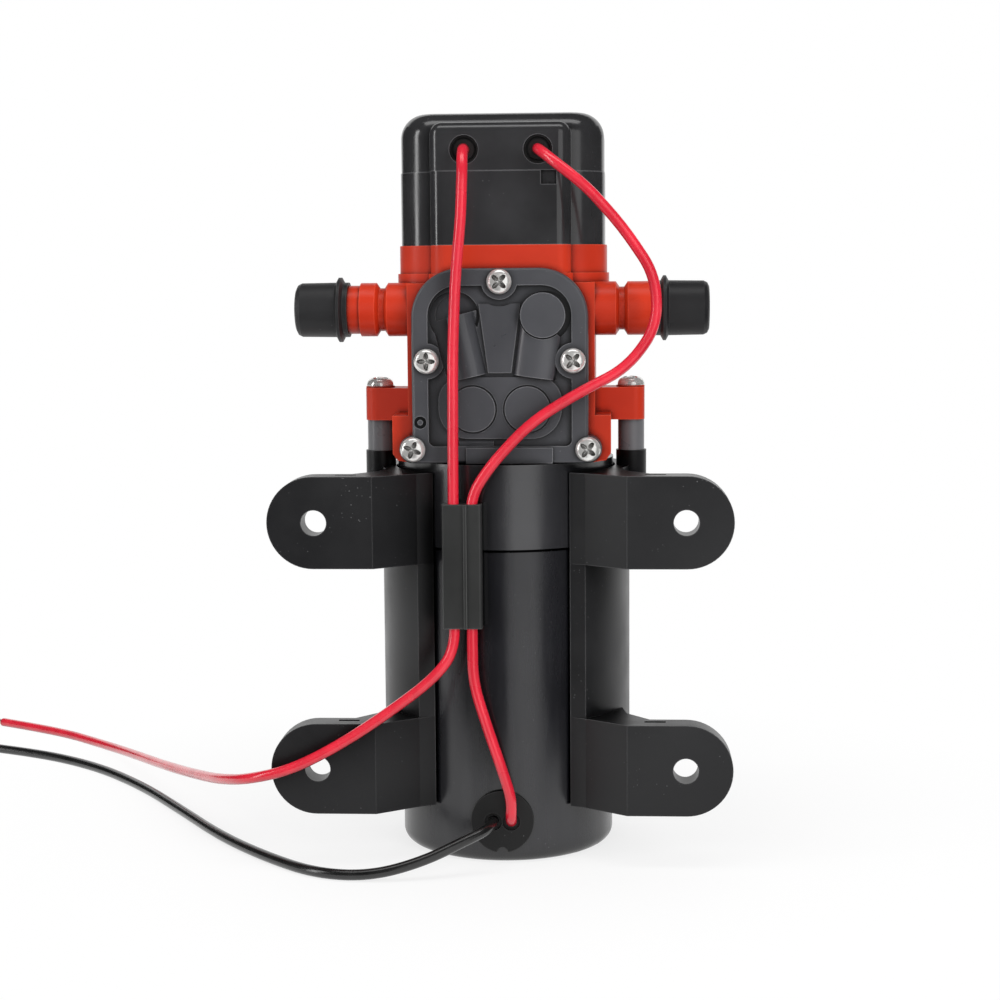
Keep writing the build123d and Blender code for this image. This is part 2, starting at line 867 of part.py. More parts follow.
def recess_outline():
    height = recess_top - recess_base
    outline = Pos(0, (recess_top + recess_base) / 2) * Rectangle(2 * recess_half, height)
    outline = fillet(outline.vertices().group_by(Axis.Y)[-1], recess_corner)
    outline = fillet(outline.vertices().group_by(Axis.Y)[0], recess_foot_corner)
    for place_x, place_z in cover_screw_places():
        outline -= Pos(place_x, place_z) * Circle(screw_boss)
    return outline


def lower_panel():
    # The raised field that carries the two valve discs.
    height = lower_panel_top - lower_panel_base
    outline = Pos(0, (lower_panel_top + lower_panel_base) / 2) * Rectangle(
        2 * lower_panel_half, height)
    outline = fillet(outline.vertices().group_by(Axis.Y)[-1], lower_panel_corner)
    return fillet(outline.vertices().group_by(Axis.Y)[0], lower_panel_round)


def channel_ridge(turn, front):
    # A half-round duct that leans inwards from the port down to its valve.
    top = (turn * channel_top_x, channel_top_z)
    foot = (turn * channel_foot_x, lower_panel_top)
    lean = math.degrees(math.atan2(top[0] - foot[0], top[1] - foot[1]))
    length = math.hypot(top[0] - foot[0], top[1] - foot[1])
    axis_y = front - channel_rise + channel_radius
    centre = Pos((top[0] + foot[0]) / 2, axis_y, (top[1] + foot[1]) / 2)
    duct = centre * Rot(0, lean, 0) * Cylinder(channel_radius, length)
    return duct + Pos(top[0], axis_y, top[1]) * Sphere(channel_radius)


def manifold_cover():
    back = -head_front - gasket_thick
    front = back - cover_thick
    floor = front + recess_depth
    body = raise_front(cover_outline(), back, front)
    body = fillet(body.faces().sort_by(Axis.Y)[0].edges(), cover_edge)
    recess = raise_front(recess_outline(), floor, front - overrun)
    body -= recess
    raised = raise_front(lower_panel(), back, floor - lower_panel_rise)
    for turn in sides:
        disc_front = floor - lower_panel_rise - valve_disc_rise
        disc = facing(valve_disc_radius, disc_front, back, turn * valve_x, valve_z)
        moat = facing(valve_disc_radius + ring_groove, floor - lower_panel_rise - overrun,
                      floor - lower_panel_rise + ring_groove, turn * valve_x, valve_z)
        moat -= facing(valve_disc_radius, floor - lower_panel_rise - 2 * overrun,
                       floor, turn * valve_x, valve_z)
        raised = raised - moat + disc
        raised += channel_ridge(turn, front) & block(
            -recess_half, recess_half, front - 2 * overrun, back, recess_base, recess_top)
    raised -= facing(port_disc_radius + port_moat, front - 2 * overrun, floor, channel_top_x,
                     channel_top_z)
    disc = facing(port_disc_radius, front - channel_rise, back, channel_top_x, channel_top_z)
    raised += fillet(disc.faces().sort_by(Axis.Y)[0].edges(), cover_edge / 2)
    panel = make_face(Polyline(
        (-panel_top_half, panel_top_z),
        (panel_top_half, panel_top_z),
        (panel_foot_half, panel_foot_z),
        (-panel_foot_half, panel_foot_z),
        close=True))
    panel -= Pos(0, top_screw_z) * Circle(screw_boss + screw_radius)
    raised += raise_front(panel, back, floor - panel_rise)
    raised += block(bar_left, bar_right, floor - bar_rise, back, recess_base - seat_gap,
                    recess_base + bar_height)
    body += raised
    body += block(band_facet_left, band_facet_right, front - band_facet_rise, back,
                  cover_base, recess_base - seat_gap)
    mark = facing(mark_radius, front - overrun, front + recess_depth, mark_x, mark_z)
    mark -= facing(mark_pin, front - overrun, front + 2 * recess_depth, mark_x, mark_z)
    body -= mark
    for place_x, place_z in cover_screw_places():
        body -= facing(screw_pass, front - overrun, back + overrun, place_x, place_z)
    for turn in sides:
        body -= facing(flap_pocket, back - inner_channel_depth, back + overrun,
                       turn * flap_x, flap_z)
        body -= facing(feed_radius, back - inner_channel_depth, back + overrun,
                       turn * feed_x, channel_top_z)
        lean = math.degrees(math.atan2(turn * (feed_x - flap_x), channel_top_z - flap_z))
        run = math.hypot(feed_x - flap_x, channel_top_z - flap_z)
        duct = Pos(turn * (feed_x + flap_x) / 2, back - inner_channel_depth / 2,
                   (channel_top_z + flap_z) / 2) * Rot(0, lean, 0)
        body -= duct * Box(2 * inner_channel_half, inner_channel_depth, run)
    return body


# Screws
def pan_screw(head_radius, head_thick, shank_radius, length):
    # The head sits on z = 0 and the shank hangs below it.
    head = upright(head_radius, 0, head_thick)
    head = fillet(head.edges().group_by(Axis.Z)[-1], screw_head_edge)
    for angle in (0, 90):
        cut = block(-cross_span / 2, cross_span / 2, -cross_width / 2, cross_width / 2,
                    head_thick - cross_depth, head_thick + overrun)
        head -= Rot(0, 0, angle + 45) * cut
    return head + upright(shank_radius, -length, 0)


def cover_screws():
    front = -head_front - gasket_thick - cover_thick
    group = []
    for place_x, place_z in cover_screw_places():
        screw = pan_screw(screw_head, screw_head_thick, screw_radius, screw_length)
        group.append(Pos(place_x, front, place_z) * Rot(90, 0, 0) * screw)
    return Compound(children=group)


def long_screws():
    seat = ear_top + seat_gap
    group = []
    for turn in sides:
        screw = pan_screw(long_screw_head, long_screw_thick, screw_radius, seat - long_screw_foot)
        group.append(Pos(turn * boss_x, 0, seat) * screw)
    return Compound(children=group)


def spacer_collars():
    group = []
    for turn in sides:
        collar = upright(collar_radius, boss_top, ear_base, turn * boss_x)
        collar -= upright(screw_pass, boss_top - overrun, ear_base + overrun, turn * boss_x)
        group.append(collar)
    return Compound(children=group)


# Port caps
def port_cap(turn, step_x):
    start = max(cap_start, step_x + slide_gap)
    profile = [
        (cap_bore, start),
        (cap_skirt_radius, start),
        (cap_skirt_radius, cap_flange_x - cap_flange_thick),
        (cap_flange_radius, cap_flange_x - cap_flange_thick / 3),
        (cap_flange_radius, cap_flange_x + cap_flange_thick / 3),
        (cap_body_radius, cap_flange_x + cap_flange_thick),
        (cap_tip_radius, cap_tip - cap_corner),
        (cap_tip_radius - cap_corner / 3, cap_tip - cap_corner / 3),
        (cap_tip_radius - cap_corner, cap_tip),
        (0, cap_tip),
        (0, cap_tip - cap_floor),
        (cap_bore, cap_tip - cap_floor)]
    body = turned_profile(profile)
    return Pos(0, port_y, port_z) * Rot(0, 90 * turn, 0) * body


# Pressure switch
def switch_base():
    outer = raise_plan(tower_plan(base_half, 0), neck_top, seam_z)
    inner = raise_plan(tower_plan_inner(base_half), neck_top + switch_wall, seam_z + overrun)
    body = outer - inner
    spigot_low = pocket_floor + switch_membrane
    body += upright(spigot_outer, spigot_low, guide_floor + guide_thick)
    inside = spigot_outer - spigot_wall
    body -= upright(inside, spigot_low - overrun, guide_floor)
    body -= upright(plunger_stem + slide_gap, guide_floor - overrun,
                    guide_floor + guide_thick + overrun)
    shelf_top = micro_base
    for turn in sides:
        low = turn * (micro_half_x - shelf_thick)
        high = turn * (micro_half_x + shelf_thick)
        body += block(min(low, high), max(low, high), -micro_half_y, micro_half_y,
                      neck_top + switch_wall, shelf_top)
    tab = block(tab_x - tab_width / 2, tab_x + tab_width / 2, -head_front - overrun,
                -head_front + tab_depth, seam_z - tab_height, seam_z + overrun)
    return body - tab


def tower_plan_inner(half):
    back = Pos(0, (back_back - back_front) / 2) * RectangleRounded(
        2 * (half - switch_wall), back_back + back_front - 2 * switch_wall,
        tower_corner - switch_wall)
    depth = head_front - switch_wall
    bump = Pos(0, -depth / 2) * Rectangle(2 * (bump_half - switch_wall), depth)
    return back + bump


def switch_cap():
    back = Pos(0, (back_back - back_front) / 2) * RectangleRounded(
        2 * cap_half, back_back + back_front, tower_corner)
    tower = raise_plan(back, seam_z, switch_top)
    tower = fillet(tower.faces().sort_by(Axis.Z)[-1].edges(), switch_round)
    bump_plan = Pos(0, -head_front / 2) * Rectangle(2 * bump_half, head_front)
    bump = raise_plan(bump_plan, seam_z, bump_top)
    rounded = bump.edges().filter_by(Axis.Z).group_by(Axis.Y)[0]
    rounded += bump.faces().sort_by(Axis.Z)[-1].edges().filter_by(Axis.X).group_by(Axis.Y)[0]
    rounded += bump.faces().sort_by(Axis.Z)[-1].edges().filter_by(Axis.Y)
    bump = fillet(rounded, bump_round)
    inner = raise_plan(tower_plan_inner(cap_half), seam_z - overrun, bump_top - 2 * switch_wall)
    body = tower + bump - inner
    for spot in (left_seal_x, right_seal_x):
        body -= facing(seal_hole, -head_front - overrun, -head_front + 2 * seal_depth, spot, seal_z)
    return body


def wire_seals():
    group = []
    for spot in (left_seal_x, right_seal_x):
        front = -head_front + switch_wall / 3
        body = facing(seal_radius, front, front + seal_depth, spot, seal_z)
        body -= facing(seal_radius - seat_gap, front - overrun, front + seal_depth / 3, spot,
                       seal_z)
        body += facing(seal_collar, front, front + seal_depth / 2, spot, seal_z)
        body -= facing(wire_radius + slide_gap, front - overrun, front + seal_depth + overrun, spot,
                       seal_z)
        group.append(body)
    return Compound(children=group)


def switch_membrane_disc():
    return upright(spigot_outer, pocket_floor, pocket_floor + switch_membrane)


def switch_plunger():
    foot = pocket_floor + switch_membrane + slide_gap
    body = upright(plunger_foot, foot, foot + plunger_foot_thick)
    body += upright(plunger_stem, foot, plunger_top)
    return chamfer(body.edges().filter_by(GeomType.CIRCLE).group_by(Axis.Z)[-1], slide_gap * 4)


def switch_spring():
    low = pocket_floor + switch_membrane + slide_gap + plunger_foot_thick + spring_wire + slide_gap
    high = guide_floor - spring_wire - slide_gap
    path = Helix(pitch=(high - low) / spring_turns, height=high - low, radius=spring_coil)
    section = Plane(path @ 0, z_dir=path % 0) * Circle(spring_wire)
    return Pos(0, 0, low) * sweep(section, path=path, is_frenet=True)


def microswitch_case():
    top = micro_base + micro_height
    body = block(-micro_half_x, micro_half_x, -micro_half_y, micro_half_y, micro_base, top)
    body = fillet(body.edges().filter_by(Axis.Z), micro_wall)
    body -= upright(button_radius + slide_gap, micro_base - overrun, micro_base + button_height
                    + plunger_travel)
    return body


def microswitch_button():
    low = plunger_top + slide_gap
    body = upright(button_radius, low, low + button_height)
    return fillet(body.edges().group_by(Axis.Z)[0], button_radius / 3)


def switch_terminals():
    top = micro_base + micro_height
    group = []
    for spot in (left_seal_x, right_seal_x):
        blade = block(spot - terminal_width / 2, spot + terminal_width / 2, -terminal_thick / 2,
                      terminal_thick / 2, top, top + terminal_height)
        blade -= facing(screw_radius / 2, -terminal_width, terminal_width, spot,
                        top + terminal_height / 2)
        group.append(blade)
    return Compound(children=group)


# Wires
def bend_radii(points):
    radii = []
    for before, here, after in zip(points, points[1:], points[2:]):
        into = Vector(*here) - Vector(*before)
        out = Vector(*after) - Vector(*here)
        turn = math.radians(into.get_angle(out))
        run = min(into.length, out.length)
        radii.append(bend_share * run / math.tan(turn / 2))
    return radii


def tube_along(points, radius, label):
    radii = bend_radii(points)
    path = FilletPolyline(*points, radius=radii)
    start = path @ 0
    section = Plane(start, z_dir=path % 0) * Circle(radius)
    tube = sweep(section, path=path)
    ratio = tube.volume / (math.pi * radius ** 2 * path.length)
    print(label, "length", round(path.length, 1), "least bend", round(min(radii), 1),
          "volume ratio", round(ratio, 4))
    print("  radii", [round(value, 1) for value in radii])
    return tube


clip_wire_y = -clip_back - clip_thick / 2
lead_exit_y = -motor_radius - grommet_lip
wire_start_y = -terminal_thick / 2 - slide_gap

feed_wire_route = [
    (left_seal_x, wire_start_y, seal_z),
    (left_seal_x, -20.6, seal_z),
    (-7.5, -24.4, head_base + 62.6),
    (-7.8, -25.2, head_base + 53.0),
    (-9.1, -24.9, head_base + 40.5),
    (-9.8, -25.0, head_base + 25.0),
    (-9.9, -25.4, head_base + 10.0),
    (clip_feed_x, clip_wire_y, clip_top + 7.1),
    (clip_feed_x, clip_wire_y, clip_base)]

motor_wire_route = [
    (right_seal_x, wire_start_y, seal_z),
    (right_seal_x, -19.6, seal_z),
    (12.2, -23.4, head_base + 64.4),
    (18.8, -24.6, head_base + 59.2),
    (26.4, -24.4, head_base + 50.8),
    (33.4, -23.6, head_base + 40.4),
    (33.8, -23.2, head_base + 29.6),
    (27.4, -23.6, head_base + 20.8),
    (16.6, -24.8, head_base + 15.4),
    (6.6, -25.4, head_base + 9.2),
    (-1.8, -25.9, head_base + 0.2),
    (clip_motor_x, clip_wire_y, clip_top + 1.7),
    (clip_motor_x, clip_wire_y, clip_base - 2.3),
    (-6.0, 1.7 - mount_plane, 41.0),
    (-2.9, 1.6 - mount_plane, 30.8),
    (0.4, 1.4 - mount_plane, 21.0),
    (2.2, 1.3 - mount_plane, 15.2),
    (lead_spread, 1.7 - mount_plane, grommet_z),
    (lead_spread, -20.0, grommet_z)]

red_lead_route = [
    (clip_feed_x, clip_wire_y, clip_base),
    (clip_feed_x, clip_wire_y, clip_base - 5.0),
    (-14.2, 0.6 - mount_plane, 42.2),
    (-23.4, -1.4 - mount_plane, 35.4),
    (-34.4, -2.9 - mount_plane, 28.2),
    (-45.4, -3.6 - mount_plane, 22.6),
    (-55.2, -1.4 - mount_plane, 19.9),
    (-63.2, -18.6, 17.1),
    (-70.4, -4.0, 14.1),
    (-79.6, 15.4, 10.4),
    (-90.2, 37.0, 6.7),
    (-102.0, 59.0, 3.6),
    (-115.4, 79.6, 1.2),
    (-132.6, 95.6, 1.2),
    (-152.0, 106.6, 1.2)]

black_lead_route = [
    (-lead_spread, lead_exit_y, grommet_z),
    (-lead_spread, -1.6 - mount_plane, grommet_z),
    (-7.0, -33.4, 8.0),
    (-16.4, -36.6, 4.0),
    (-27.6, -38.4, 1.3),
    (-39.6, -36.4, 1.2),
    (-52.0, -25.0, 1.2),
    (-65.4, -9.0, 1.2),
    (-79.4, 13.0, 1.2),
    (-94.6, 36.0, 1.2),
    (-112.6, 56.8, 1.2),
    (-134.6, 71.6, 1.2),
    (-158.0, 80.4, 1.2)]


def lead_tip(route):
    last = Vector(*route[-1])
    along = (last - Vector(*route[-2])).normalized()
    wire = Plane(last, z_dir=along) * Circle(tip_radius)
    return extrude(wire, amount=tip_length)


def wire_clip():
    x_low = clip_centre_x - clip_half
    x_high = clip_centre_x + clip_half
    body = block(x_low, x_high, -clip_back - clip_thick, -clip_back, clip_base, clip_top)
    body = fillet(body.edges().filter_by(Axis.Z), clip_corner)
    body += block(clip_ridge_x - clip_ridge_width / 2, clip_ridge_x + clip_ridge_width / 2,
                  -clip_back - clip_thick - clip_ridge, -clip_back - clip_thick / 2,
                  clip_base, clip_top)
    for spot in (clip_feed_x, clip_motor_x):
        body -= upright(clip_hole, clip_base - overrun, clip_top + overrun, spot, clip_wire_y)
    return body


def build_parts():
    return {
        "base_cradle": base_cradle(),
        "motor_cover": motor_cover(),
        "steel_can": steel_can(),
        "end_bell": end_bell(),
        "rear_bearing": bearing(rear_bearing_radius, rear_bearing_base()),
        "front_bearing": bearing(front_bearing_radius, bell_top - bell_plate),
        "lead_grommet": lead_grommet(),
        "field_magnets": field_magnets(),
        "rotor_shaft": rotor_shaft(),
        "armature_core": armature_core(),
        "armature_windings": armature_windings(),
        "commutator": commutator(),
        "brush_plate": brush_plate(),
        "carbon_brushes": carbon_brushes(),
        "eccentric": eccentric(),
        "drive_bearing": drive_bearing(),
        "connecting_rod": connecting_rod(),
        "diaphragm": diaphragm(),
        "clamp_washer": clamp_washer(),
        "drive_screw": drive_screw(),
        "pump_housing": pump_housing(),
        "valve_plate": valve_plate(),
        "inlet_valve": flap_valve(-1),
        "outlet_valve": flap_valve(1),
        "cover_gasket": cover_gasket(),
        "manifold_cover": manifold_cover(),
        "cover_screws": cover_screws(),
        "long_screws": long_screws(),
        "spacer_collars": spacer_collars(),
        "inlet_cap": port_cap(-1, left_step_x),
        "outlet_cap": port_cap(1, right_step_x),
        "switch_base": switch_base(),
        "switch_cap": switch_cap(),
        "wire_seals": wire_seals(),
        "switch_membrane": switch_membrane_disc(),
        "switch_plunger": switch_plunger(),
        "switch_spring": switch_spring(),
        "microswitch_case": microswitch_case(),
        "microswitch_button": microswitch_button(),
        "switch_terminals": switch_terminals(),
        "wire_clip": wire_clip(),
        "red_feed_wire": tube_along(feed_wire_route, wire_radius, "red feed wire"),
        "red_motor_wire": tube_along(motor_wire_route, wire_radius, "red motor wire"),
        "red_lead": tube_along(red_lead_route, wire_radius, "red lead"),
        "black_lead": tube_along(black_lead_route, wire_radius, "black lead"),
        "red_lead_tip": lead_tip(red_lead_route),
        "black_lead_tip": lead_tip(black_lead_route),
    }


os.makedirs("parts", exist_ok=True)
for name, solid in build_parts().items():
    export_step(solid, os.path.join("parts", name + ".step"))
    print("wrote", name)
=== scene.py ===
# %% [markdown]
# # A small caravan water pump
# The pump stands on the closed end of its motor, seen from its mounting side.
# The CAD model gives every solid its shape and place, in metres: +Z runs up the motor
# shaft and -Y points at the viewer. This script sets the camera, lays the two loose
# leads as smooth curves, gives every part a worked surface and lights the scene.

# %% Load the frame
import bmesh
import bpy
import math
from collections import Counter
from mathutils import Matrix, Vector


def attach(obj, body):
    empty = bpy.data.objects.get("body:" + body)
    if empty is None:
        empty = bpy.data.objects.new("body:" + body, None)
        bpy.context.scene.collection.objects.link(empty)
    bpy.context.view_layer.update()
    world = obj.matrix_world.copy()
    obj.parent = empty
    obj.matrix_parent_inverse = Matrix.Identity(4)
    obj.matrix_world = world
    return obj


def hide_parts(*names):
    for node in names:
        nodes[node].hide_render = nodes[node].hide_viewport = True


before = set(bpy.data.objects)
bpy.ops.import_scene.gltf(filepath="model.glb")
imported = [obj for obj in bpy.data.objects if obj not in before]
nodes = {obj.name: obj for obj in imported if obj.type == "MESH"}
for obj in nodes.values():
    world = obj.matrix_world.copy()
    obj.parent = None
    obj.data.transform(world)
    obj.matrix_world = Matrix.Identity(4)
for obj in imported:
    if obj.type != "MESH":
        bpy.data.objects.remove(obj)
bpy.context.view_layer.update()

# %% [markdown]
# ## Camera
# The photograph was read as a pinhole view 0.45 m in front of the pump and a little above
# its middle. A camera could be set by eye, but this one was solved from the hole pattern of
# the four feet, so that every piece falls where the photograph shows it.

# %% Camera
camera_data = bpy.data.cameras.new("camera")
camera = bpy.data.objects.new("camera", camera_data)
bpy.context.scene.collection.objects.link(camera)
bpy.context.scene.camera = camera
camera_data.sensor_width = 36.0
camera_data.lens = 72.0
camera_data.clip_start = 0.01
camera_place = (0.025212, -0.45164, 0.129072)
pitch, yaw, roll = -0.112871, 0.058842, 0.007784
turned = Matrix.Rotation(yaw, 4, "Z") @ Matrix.Rotation(pitch, 4, "X")
turned = turned @ Matrix.Rotation(roll, 4, "Y") @ Matrix.Rotation(math.radians(90), 4, "X")
camera.matrix_world = Matrix.Translation(camera_place) @ turned
print("camera at", tuple(round(value, 4) for value in camera.location))

# %% [markdown]
# ## Loose leads
# The red lead leaves the wire clip, crosses in front of the lower left foot and sinks to the
# floor; the black lead leaves the grommet. A swept mesh tube would show its joints, so each
# is one smooth spline with the same points as its CAD tube: a wire with 2.4 mm of insulation
# and a short tinned end. The thickness is given by the radius of the points, because Blender
# adds that radius to the box of a curve, and 1 m is its default.

# %% Lead curves
def smooth_wire(name, points, radius):
    curve = bpy.data.curves.new(name, "CURVE")
    curve.dimensions = "3D"
    spline = curve.splines.new("NURBS")
    spline.points.add(len(points) - 1)
    for point, place in zip(spline.points, points):
        point.co = (*place, 1.0)
        point.radius = radius
    spline.order_u = 3
    spline.use_endpoint_u = True
    spline.resolution_u = 14
    curve.bevel_depth = 1.0
    curve.bevel_resolution = 6
    curve.use_fill_caps = True
    piece = bpy.data.objects.new(name, curve)
    bpy.context.scene.collection.objects.link(piece)
    return piece


# %% Lay the leads
wire_radius = 0.00118
red_points = [
    (-0.00995, -0.02585, 0.0529), (-0.00995, -0.02585, 0.0479), (-0.0142, -0.0274, 0.0422),
    (-0.0234, -0.0294, 0.0354), (-0.0344, -0.0309, 0.0282), (-0.0454, -0.0316, 0.0226),
    (-0.0552, -0.0294, 0.0199), (-0.0632, -0.0186, 0.0171), (-0.0704, -0.0040, 0.0141),
    (-0.0796, 0.0154, 0.0104), (-0.0902, 0.0370, 0.0067), (-0.1020, 0.0590, 0.0036),
    (-0.1154, 0.0796, 0.0012), (-0.1326, 0.0956, 0.0012), (-0.1520, 0.1066, 0.0012)]
black_points = [
    (-0.0020, -0.0249, 0.0096), (-0.0020, -0.0296, 0.0096), (-0.0070, -0.0334, 0.0080),
    (-0.0164, -0.0366, 0.0040), (-0.0276, -0.0384, 0.0013), (-0.0396, -0.0364, 0.0012),
    (-0.0520, -0.0250, 0.0012), (-0.0654, -0.0090, 0.0012), (-0.0794, 0.0130, 0.0012),
    (-0.0946, 0.0360, 0.0012), (-0.1126, 0.0568, 0.0012), (-0.1346, 0.0716, 0.0012),
    (-0.1580, 0.0804, 0.0012)]
red_wire = smooth_wire("red_lead_wire", red_points, wire_radius)
black_wire = smooth_wire("black_lead_wire", black_points, wire_radius)
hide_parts("red_lead")
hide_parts("black_lead")
for wire in (red_wire, black_wire):
    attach(wire, "pump")
print("leads", [piece.name for piece in (red_wire, black_wire)])

# %% [markdown]
# ## Screws
# Five short pan-head screws hold the cover, and two long ones go down through the ears. One
# screw is drawn as rings around its axis: the rings of the head follow the outline of the
# cross, so that its walls stay crisp, and the shank has a stack of thread ridges. It could be
# cut with a Boolean, but rings aligned with the cross give cleaner faces.

# %% Rings of one screw
def screw_rings(head_radius, head_height, shank_radius, length):
    # Each ring is a list of (radius, height), one for every step around the axis.
    steps = 64
    cross_depth = 0.62 * head_height
    thread_pitch = 0.7e-3
    # The outline of the cross: a wave with four crests around the axis.
    arms = []
    for step in range(steps):
        lobe = abs(math.cos(math.tau * step / steps * 2)) ** 2.4
        arms.append(head_radius * (0.29 + 0.43 * lobe))

    def dome(radius):
        return head_height * (1 - (radius / head_radius) ** 3.2) ** 0.42

    rings = []
    # The floor and the walls of the cross: (share of the arm, share of the depth).
    for share, drop in ((0.3, 1.12), (0.62, 1.0), (0.84, 0.94), (0.95, 0.5)):
        rings.append([(arm * share, dome(arm) - drop * cross_depth) for arm in arms])
    rings.append([(arm, dome(arm) - 0.03 * head_height) for arm in arms])
    # The brim of the cross passes over into the round dome, which ends in a rounded edge.
    brim, dome_edge = 1.06, 0.87
    rings.append([(arm * brim, dome(arm * brim)) for arm in arms])
    for share in (0.3, 0.6, 0.82):
        radii = [arm * brim + share * (dome_edge * head_radius - arm * brim) for arm in arms]
        rings.append([(radius, dome(radius)) for radius in radii])
    for share in (0.88, 0.93, 0.965, 0.988, 0.998):
        rings.append([(share * head_radius, dome(share * head_radius))] * steps)
    rings.append([(0.99 * head_radius, 0.0)] * steps)
    rings.append([(shank_radius, 0.0)] * steps)
    # The thread: its crest and the two sides of its root, once for every pitch.
    for turn in range(1, int(length / thread_pitch) - 1):
        for share, height in ((1.0, 0.0), (0.8, 0.3), (0.8, 0.55)):
            rings.append([(shank_radius * share, -(turn + height) * thread_pitch)] * steps)
    rings.append([(0.45 * shank_radius, -length)] * steps)
    return rings, steps


# %% Mesh of one screw
def screw_piece(name, *sizes):
    rings, steps = screw_rings(*sizes)
    turn = math.tau / steps
    places = [(radius * math.cos(step * turn), radius * math.sin(step * turn), height)
              for ring in rings for step, (radius, height) in enumerate(ring)]
    faces = [[ring * steps + step, ring * steps + (step + 1) % steps,
              (ring + 1) * steps + (step + 1) % steps, (ring + 1) * steps + step]
             for ring in range(len(rings) - 1) for step in range(steps)]
    faces = [face[::-1] for face in faces]
    for ring, start in ((0, 1), (len(rings) - 1, -1)):
        faces.append([ring * steps + step for step in range(steps)][::start])
    mesh = bpy.data.meshes.new(name)
    mesh.from_pydata(places, [], faces)
    mesh.shade_smooth()
    mesh.set_sharp_from_angle(angle=math.radians(38))
    piece = bpy.data.objects.new(name, mesh)
    bpy.context.scene.collection.objects.link(piece)
    return piece


# %% The two kinds of screw
def reach(name, keep=lambda place: True):
    # Lowest and highest x, y and z of a CAD node, or of the half of it that is kept.
    places = [vertex.co for vertex in nodes[name].data.vertices if keep(vertex.co)]
    return [(min(place[axis] for place in places), max(place[axis] for place in places))
            for axis in range(3)]


cover_head, long_head, shank_radius = 0.00275, 0.00305, 0.00145
cover_height, long_height = 0.0016, 0.0020
cover_reach = reach("cover_screws")
long_reach = reach("long_screws", lambda place: place.x > 0)
cover_length = cover_reach[1][1] - cover_reach[1][0] - cover_height
long_length = long_reach[2][1] - long_reach[2][0] - long_height
cover_screw = screw_piece("cover_screw", cover_head, cover_height, shank_radius, cover_length)
long_screw = screw_piece("long_screw", long_head, long_height, shank_radius, long_length)
print("screw faces", len(cover_screw.data.polygons), len(long_screw.data.polygons))

# %% [markdown]
# ## Setting the screws
# A fitter leaves every cross at its own angle. Each copy could be placed by hand, but a small
# node tree does it from a list of places: it puts one screw on every point, turns it by a
# random angle with a fixed seed, makes the copies real and gives them their material.

# %% Tree that sets the screws
def screw_tree():
    tree = bpy.data.node_groups.new("set_screws", "GeometryNodeTree")
    face = tree.interface
    for label, kind in (("Geometry", "NodeSocketGeometry"), ("Screw", "NodeSocketObject"),
                        ("Tilt", "NodeSocketFloat"), ("Largest turn", "NodeSocketFloat"),
                        ("Seed", "NodeSocketInt"), ("Material", "NodeSocketMaterial")):
        face.new_socket(label, in_out="INPUT", socket_type=kind)
    face.new_socket("Geometry", in_out="OUTPUT", socket_type="NodeSocketGeometry")
    add, join = tree.nodes.new, tree.links.new
    given, result = add("NodeGroupInput"), add("NodeGroupOutput")
    picked = add("GeometryNodeObjectInfo")
    placed = add("GeometryNodeInstanceOnPoints")
    tilt = add("ShaderNodeCombineXYZ")
    chance = add("FunctionNodeRandomValue")
    chance.data_type = "FLOAT"
    spin = add("ShaderNodeCombineXYZ")
    turned = add("GeometryNodeRotateInstances")
    whole = add("GeometryNodeRealizeInstances")
    painted = add("GeometryNodeSetMaterial")
    join(given.outputs["Screw"], picked.inputs["Object"])
    join(given.outputs["Geometry"], placed.inputs["Points"])
    join(picked.outputs["Geometry"], placed.inputs["Instance"])
    join(given.outputs["Tilt"], tilt.inputs["X"])
    join(tilt.outputs[0], placed.inputs["Rotation"])
    join(given.outputs["Largest turn"], chance.inputs[3])
    join(given.outputs["Seed"], chance.inputs["Seed"])
    join(chance.outputs[1], spin.inputs["Z"])
    join(placed.outputs["Instances"], turned.inputs["Instances"])
    join(spin.outputs[0], turned.inputs["Rotation"])
    turned.inputs["Local Space"].default_value = True
    join(turned.outputs["Instances"], whole.inputs["Geometry"])
    join(whole.outputs["Geometry"], painted.inputs["Geometry"])
    join(given.outputs["Material"], painted.inputs["Material"])
    join(painted.outputs["Geometry"], result.inputs["Geometry"])
    return tree


# %% Set one group of screws
def finished_mesh(piece):
    # The piece with all its modifiers done, as a plain mesh.
    bpy.context.view_layer.update()
    return bpy.data.meshes.new_from_object(
        piece.evaluated_get(bpy.context.evaluated_depsgraph_get()))


def set_screws(name, places, screw, tilt, seed, material):
    spots = bpy.data.meshes.new(name + "_places")
    spots.from_pydata(places, [], [])
    host = bpy.data.objects.new(name + "_host", spots)
    bpy.context.scene.collection.objects.link(host)
    scatter = host.modifiers.new("scatter", "NODES")
    scatter.node_group = scatter_tree
    values = {"Screw": screw, "Tilt": tilt, "Largest turn": math.tau / 4, "Seed": seed,
              "Material": material}
    for socket in scatter_tree.interface.items_tree:
        if socket.in_out == "INPUT" and socket.name in values:
            scatter[socket.identifier] = values[socket.name]
    mesh = finished_mesh(host)
    host.modifiers.remove(scatter)
    bpy.data.objects.remove(host)
    bpy.data.objects.remove(screw)
    piece = bpy.data.objects.new(name, mesh)
    bpy.context.scene.collection.objects.link(piece)
    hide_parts(name[:-6])
    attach(piece, "pump")
    print(name, "vertices", len(mesh.vertices), "size",
          [round(1000 * value, 1) for value in piece.dimensions])


scatter_tree = screw_tree()
print("scatter nodes", len(scatter_tree.nodes))

# %% [markdown]
# ## Manifold cover
# The cover is the most worked part: two ducts and their end discs rise from a recess. The CAD
# solid has its main forms. The left duct really opens into a sunken seat, a moat runs around
# both ends, and the right duct is a broad half round that ends under a raised disc. They are
# added and cut here with Boolean modifiers on a copy of the solid whose loose triangles were
# merged first, because a moat drawn in the material would stay flat.
# The cuts are 0.9 to 1.1 mm deep, and at least 0.5 mm of wall stays behind them.

